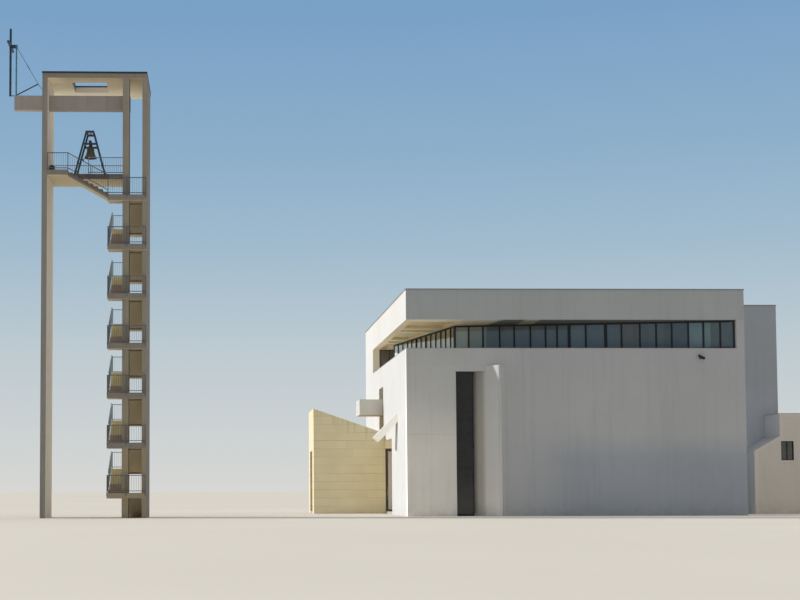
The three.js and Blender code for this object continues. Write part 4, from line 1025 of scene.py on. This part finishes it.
def porch_door():
    x0, x1 = WEST + DOOR_FRAME_WIDTH + GAP, WEST + 1.18 + 0.12 - DOOR_FRAME_WIDTH - GAP
    y = WING_FRONT + 0.02
    low, high = FLOOR + GAP, 4.56 - DOOR_FRAME_WIDTH - GAP
    pull = Piece()
    x, out = x0 + 0.05, y - 0.055
    pull.rod((x, out, 1.0), (x, out, 1.9), 0.014, 12)
    for z in (1.08, 1.82):
        pull.rod((x, out, z), (x, y, z), 0.009, 10)
    pull.box(x - 0.025, x + 0.025, y - 0.006, y, 1.28, 1.5)
    pull.done("porch_door_pull", BRASS, "railing_steel", "porch_door", bevel=0.002)

    bead = Piece()
    stile = 0.1
    for side in (y + 0.004, y + 0.046):
        bead.frame(x0 + stile, x1 - stile, side, side + 0.01, low + stile, high - stile, 0.015)
    bead.box(x0 + 0.01, x1 - 0.01, y - 0.004, y, low + 0.005, low + 0.09)
    bead.done("porch_door_beads", DOOR_FRAME, body="porch_door", bevel=0.001)


MAIN_DOOR_Y, MAIN_DOOR_WIDTH, MAIN_DOOR_HIGH, MAIN_DOOR_BOARDS = FRONT + 12.95, 2.45, 4.45, 7


def main_doors():
    face, thick = WING_WEST + 0.4 - 0.02 - 0.07, 0.07
    near, far = MAIN_DOOR_Y + GAP, MAIN_DOOR_Y + MAIN_DOOR_WIDTH - GAP
    width = (MAIN_DOOR_WIDTH - 3 * GAP) / 2
    z0, z1 = FLOOR + GAP, MAIN_DOOR_HIGH - GAP
    pitch = (width - 0.16) / MAIN_DOOR_BOARDS
    for body, y0, inset in (("main_door_near", near, width - 0.045), ("main_door_far", far - width, 0.045)):
        panel = Piece()
        for i in range(MAIN_DOOR_BOARDS):
            a = y0 + 0.08 + i * pitch
            panel.box(face - 0.010, face, a + 0.004, a + pitch - 0.004, z0 + 0.14, z1 - 0.1)
            panel.box(face + thick, face + thick + 0.008, a + 0.004, a + pitch - 0.004, z0 + 0.14, z1 - 0.1)
        for a, b in ((z0 + 0.02, z0 + 0.12), (z1 - 0.08, z1 - 0.01)):
            panel.box(face - 0.010, face, y0 + 0.02, y0 + width - 0.02, a, b)
        panel.done(body + "_boards", BOARDS, body=body, bevel=0.003)

        pull = Piece()
        out, y = face - 0.07, y0 + inset
        pull.rod((out, y, 0.95), (out, y, 2.15), 0.017, 12)
        for z in (1.05, 2.05):
            pull.rod((out, y, z), (face - 0.002, y, z), 0.011, 10)
        pull.box(face - 0.016, face - 0.001, y - 0.022, y + 0.022, 1.3, 1.52)
        pull.done(body + "_pull", BRASS, "railing_steel", body, bevel=0.002)


porch_door()
main_doors()


# The low east wing: margins round its front, the window's margin, frame and bars, and the copings.
WING_X, STEP_X, RIGHT_X = 13.07, 14.81, 18.57
WING_LOW, WING_MID, WING_TOP = 4.17, 5.17, 6.65
EAST_WING_Y, EAST_WING_BACK = FRONT + 5.0, FRONT + 14.0


def east_wing_margin():
    piece = Piece()
    band, proud = 0.24, 0.012
    turn = WING_LOW + (WING_MID - WING_LOW) / (STEP_X - WING_X) * band - band
    low, mid, top = WING_LOW - band, WING_MID - band, WING_TOP - band
    for outline in (
        [(WING_X, 0.0), (WING_X + band, 0.0), (WING_X + band, turn), (WING_X, low)],
        [(WING_X, low), (WING_X + band, turn), (STEP_X, mid), (STEP_X, WING_MID), (WING_X, WING_LOW)],
        [(STEP_X, mid), (STEP_X + band, mid), (STEP_X + band, top), (STEP_X, top)],
        [(STEP_X, top), (RIGHT_X, top), (RIGHT_X, WING_TOP), (STEP_X, WING_TOP)],
    ):
        piece.plate(outline, EAST_WING_Y, -proud)
    piece.done("east_wing_margin", MARGIN, "beige_render", bevel=0.003)


def east_window():
    x0, x1, z0, z1 = 14.87, 15.73, 3.55, 4.82
    y, edge = EAST_WING_Y, 0.09
    margin = Piece()
    margin.box(x0 - edge, x0, y - 0.02, y, z0 - edge, z1 + edge)
    margin.box(x1, x1 + edge, y - 0.02, y, z0 - edge, z1 + edge)
    margin.box(x0, x1, y - 0.02, y, z1, z1 + edge)
    margin.box(x0, x1, y - 0.035, y + 0.1, z0 - edge, z0 - 0.001)
    margin.done("east_window_margin", MARGIN, "beige_render", bevel=0.004)

    bars = Piece()
    a, b = y + 0.06, y + 0.118
    bars.frame(x0, x1, a, b, z0, z1, BEAD)
    bars.box((x0 + x1) / 2 - 0.018, (x0 + x1) / 2 + 0.018, a + 0.01, b, z0 + BEAD, z1 - BEAD)
    grille = y + 0.03
    for i in range(1, 8):
        x = x0 + (x1 - x0) * i / 8
        bars.rod((x, grille, z0), (x, grille, z1), 0.006, 6)
    for z in (z0 + 0.3, z1 - 0.3):
        bars.bar((x0, grille, z), (x1, grille, z), 0.012)
    bars.done("east_window_bars", DARK, bevel=0.002)


def east_wing_copings():
    cap = Piece()
    lip, inner, thick = 0.015, 0.37, 0.025
    x1, y, far = RIGHT_X + lip, EAST_WING_Y, EAST_WING_BACK
    for a, b, c, d in (
        (STEP_X, x1, y - 0.025, y + inner),
        (RIGHT_X - inner, x1, y + inner, far + lip),
        (BLOCK_EAST + 0.005, RIGHT_X - inner, far - inner, far + lip),
        (STEP_X - lip, STEP_X + 0.32, y + inner, BLOCK_FRONT - 0.005),
    ):
        cap.box(a, b, c, d, WING_TOP, WING_TOP + thick)
    cap.done("east_wing_coping", LEAD, "beige_render", bevel=0.004)

    slope = Piece()
    x0 = WING_X - lip
    outline = [(x0, WING_LOW), (STEP_X, WING_MID), (STEP_X, WING_MID + thick), (x0, WING_LOW + thick)]
    slope.plate(outline, y - 0.02, 2.61)
    slope.done("east_wing_slope_coping", LOW_ROOF_SHADE, "beige_render", bevel=0.004)


east_wing_margin()
east_window()
east_wing_copings()


# Nosings along the fronts of the landings, of the half landings and of the belfry's deck and platform.
def landing_edges():
    def nosing(x, y, z, length, before=0.008, behind=0.04, thick=0.008):
        at = at_tower(x, y, z)
        piece.box(at.x, at.x + length, at.y - before, at.y + behind, z, z + thick)

    piece = Piece()
    landing, belfry, front = 3.992, 0.33, -0.2
    for i in range(STOREYS + 1):
        nosing(landing, front, FIRST_LANDING + STOREY * i, 2.346)
    for i in range(STOREYS):
        nosing(landing, 4.14, FIRST_LANDING + STOREY * (i + 0.5), 2.076, 0.04, 0.008)
    nosing(belfry, front, DECK, 1.26)
    nosing(belfry, 1.2, PLATFORM, 4.65, behind=0.03, thick=0.01)
    piece.done("landing_edges", COPING, bevel=0.002)


# Open spouts through the parapets at the back of the hall and of the east block.
def roof_spouts():
    piece = Piece()
    for places, half, wall, reach, low, rim in (
        ((-7.0, 0.0, 7.0), 0.11, 0.025, 0.14, 13.0, 0.14),
        ((12.2, 14.4), 0.09, 0.02, 0.12, 13.75, 0.12),
    ):
        for x in places:
            piece.box(x - half, x + half, BACK - 0.01, BACK + reach, low, low + 0.03)
            for side in (x - half, x + half - wall):
                piece.box(side, side + wall, BACK - 0.01, BACK + reach, low + 0.03, low + rim)
    piece.done("roof_spouts", LEAD, bevel=0.003)


def loggia_sill_capping():
    piece = Piece()
    near, lip, thick = FRONT + 0.5, 0.02, 0.02
    piece.box(WEST - lip, WEST + 0.52, near, LOGGIA_BACK, SILL, SILL + thick)
    piece.box(WEST - lip, EAST - 0.5, FRONT - lip, near, SILL, SILL + thick)
    piece.done("loggia_sill_capping", LEAD, "white_plaster", bevel=0.004)


landing_edges()
roof_spouts()
loggia_sill_capping()


# A pale floor with fine variation, soft light from the left and an even sky. Each stop of the sky is a height and a
# colour, and each light has its strength, spread, colour, height, place behind the front and side.
FLOOR_REACH = 900.0
SKY = (
    (0.10, (0.51, 0.59, 0.635)),
    (0.168, (0.36, 0.50, 0.615)),
    (0.234, (0.268, 0.428, 0.592)),
    (0.32, (0.198, 0.358, 0.567)),
)
LIGHTS = (
    ("sun", 3.0, 1.8, (1.0, 0.965, 0.905), 26, 9.4, -1),
    ("fill", 0.8, 60.0, (1.0, 0.95, 0.86), 28, 12, 1),
    ("overhead", 0.7, 50.0, (1.0, 0.97, 0.92), 86, 10, 1),
)


def stage():
    mesh = bpy.data.meshes.new("floor")
    r = FLOOR_REACH
    mesh.from_pydata([(-r, -r, 0), (r, -r, 0), (r, r, 0), (-r, r, 0)], [], [(0, 1, 2, 3)])
    s = Surface("floor")
    s.color = s.mix(s.band(s.noise(0.08, 5), 0.3, 0.7), (0.66, 0.62, 0.555), (0.70, 0.66, 0.595))
    s.done(0.9, s.bump(s.noise(6.0, 5), 0.01, 0.1))
    mesh.materials.append(s.material)
    floor = placed("floor", mesh)

    world = bpy.data.worlds.new("sky")
    bpy.context.scene.world = world
    sky = Graph(world)
    even = sky.tree.nodes["Background"]
    sky.feed(even.inputs["Color"], (0.27, 0.295, 0.325))
    height = sky.node("SeparateXYZ", "Z", {0: sky.node("TexCoord", "Generated")})
    fade = sky.node("ValToRGB", "Color", {"Fac": height})
    stops = fade.node.color_ramp.elements
    stops[0].position, stops[0].color = 0.0, (0.68, 0.68, 0.66, 1)
    stops[1].position, stops[1].color = 0.5, (0.15, 0.31, 0.54, 1)
    for place, tint in SKY:
        stops.new(place).color = (*tint, 1)
    backdrop = sky.node("Background", 0, {"Color": fade})
    seen = sky.node("LightPath", "Is Camera Ray")
    choice = sky.node("MixShader", 0, {0: seen, 1: even.outputs[0], 2: backdrop})
    sky.feed(sky.tree.nodes["World Output"].inputs["Surface"], choice)

    for name, energy, spread, tint, high, behind, side in LIGHTS:
        lamp = bpy.data.lights.new(name, "SUN")
        lamp.energy = energy
        lamp.angle = math.radians(spread)
        lamp.color = tint
        source = placed(name, lamp)
        up, turn = math.radians(high), math.radians(behind)
        way = Vector((side * math.cos(up) * math.cos(turn), math.cos(up) * math.sin(turn), math.sin(up)))
        source.rotation_euler = way.to_track_quat("Z", "Y").to_euler()


stage()


# The camera stands in the field before the church, level with the eye, with a shifted lens. Its place is in metres of
# the model, its angles in degrees, and its shift in pixels of the photograph's width.
EYE = (-11.215, -50.075, 0.8)
YAW, PITCH, ROLL = 1.6316, 3.2698, -0.1407
LENS, SHIFT_X, SHIFT_Y, WIDTH = 63.758, 141, 110, 800


def camera():
    data = bpy.data.cameras.new("camera")
    data.lens, data.sensor_width = LENS, 36
    data.shift_x, data.shift_y = SHIFT_X / WIDTH, SHIFT_Y / WIDTH
    data.clip_start, data.clip_end = 0.1, 3000
    eye = placed("camera", data)
    yaw, pitch, roll = (math.radians(angle) for angle in (YAW, PITCH, ROLL))
    forward = Vector((math.sin(yaw) * math.cos(pitch), math.cos(yaw) * math.cos(pitch), math.sin(pitch)))
    right = Vector((math.cos(yaw), -math.sin(yaw), 0))
    up = right.cross(forward)
    right, up = math.cos(roll) * right + math.sin(roll) * up, -math.sin(roll) * right + math.cos(roll) * up
    turn = Matrix((right, up, -forward)).transposed().to_4x4()
    eye.matrix_world = Matrix.Translation(EYE) @ turn
    bpy.context.scene.camera = eye


camera()
bpy.context.scene.view_settings.view_transform = "Standard"
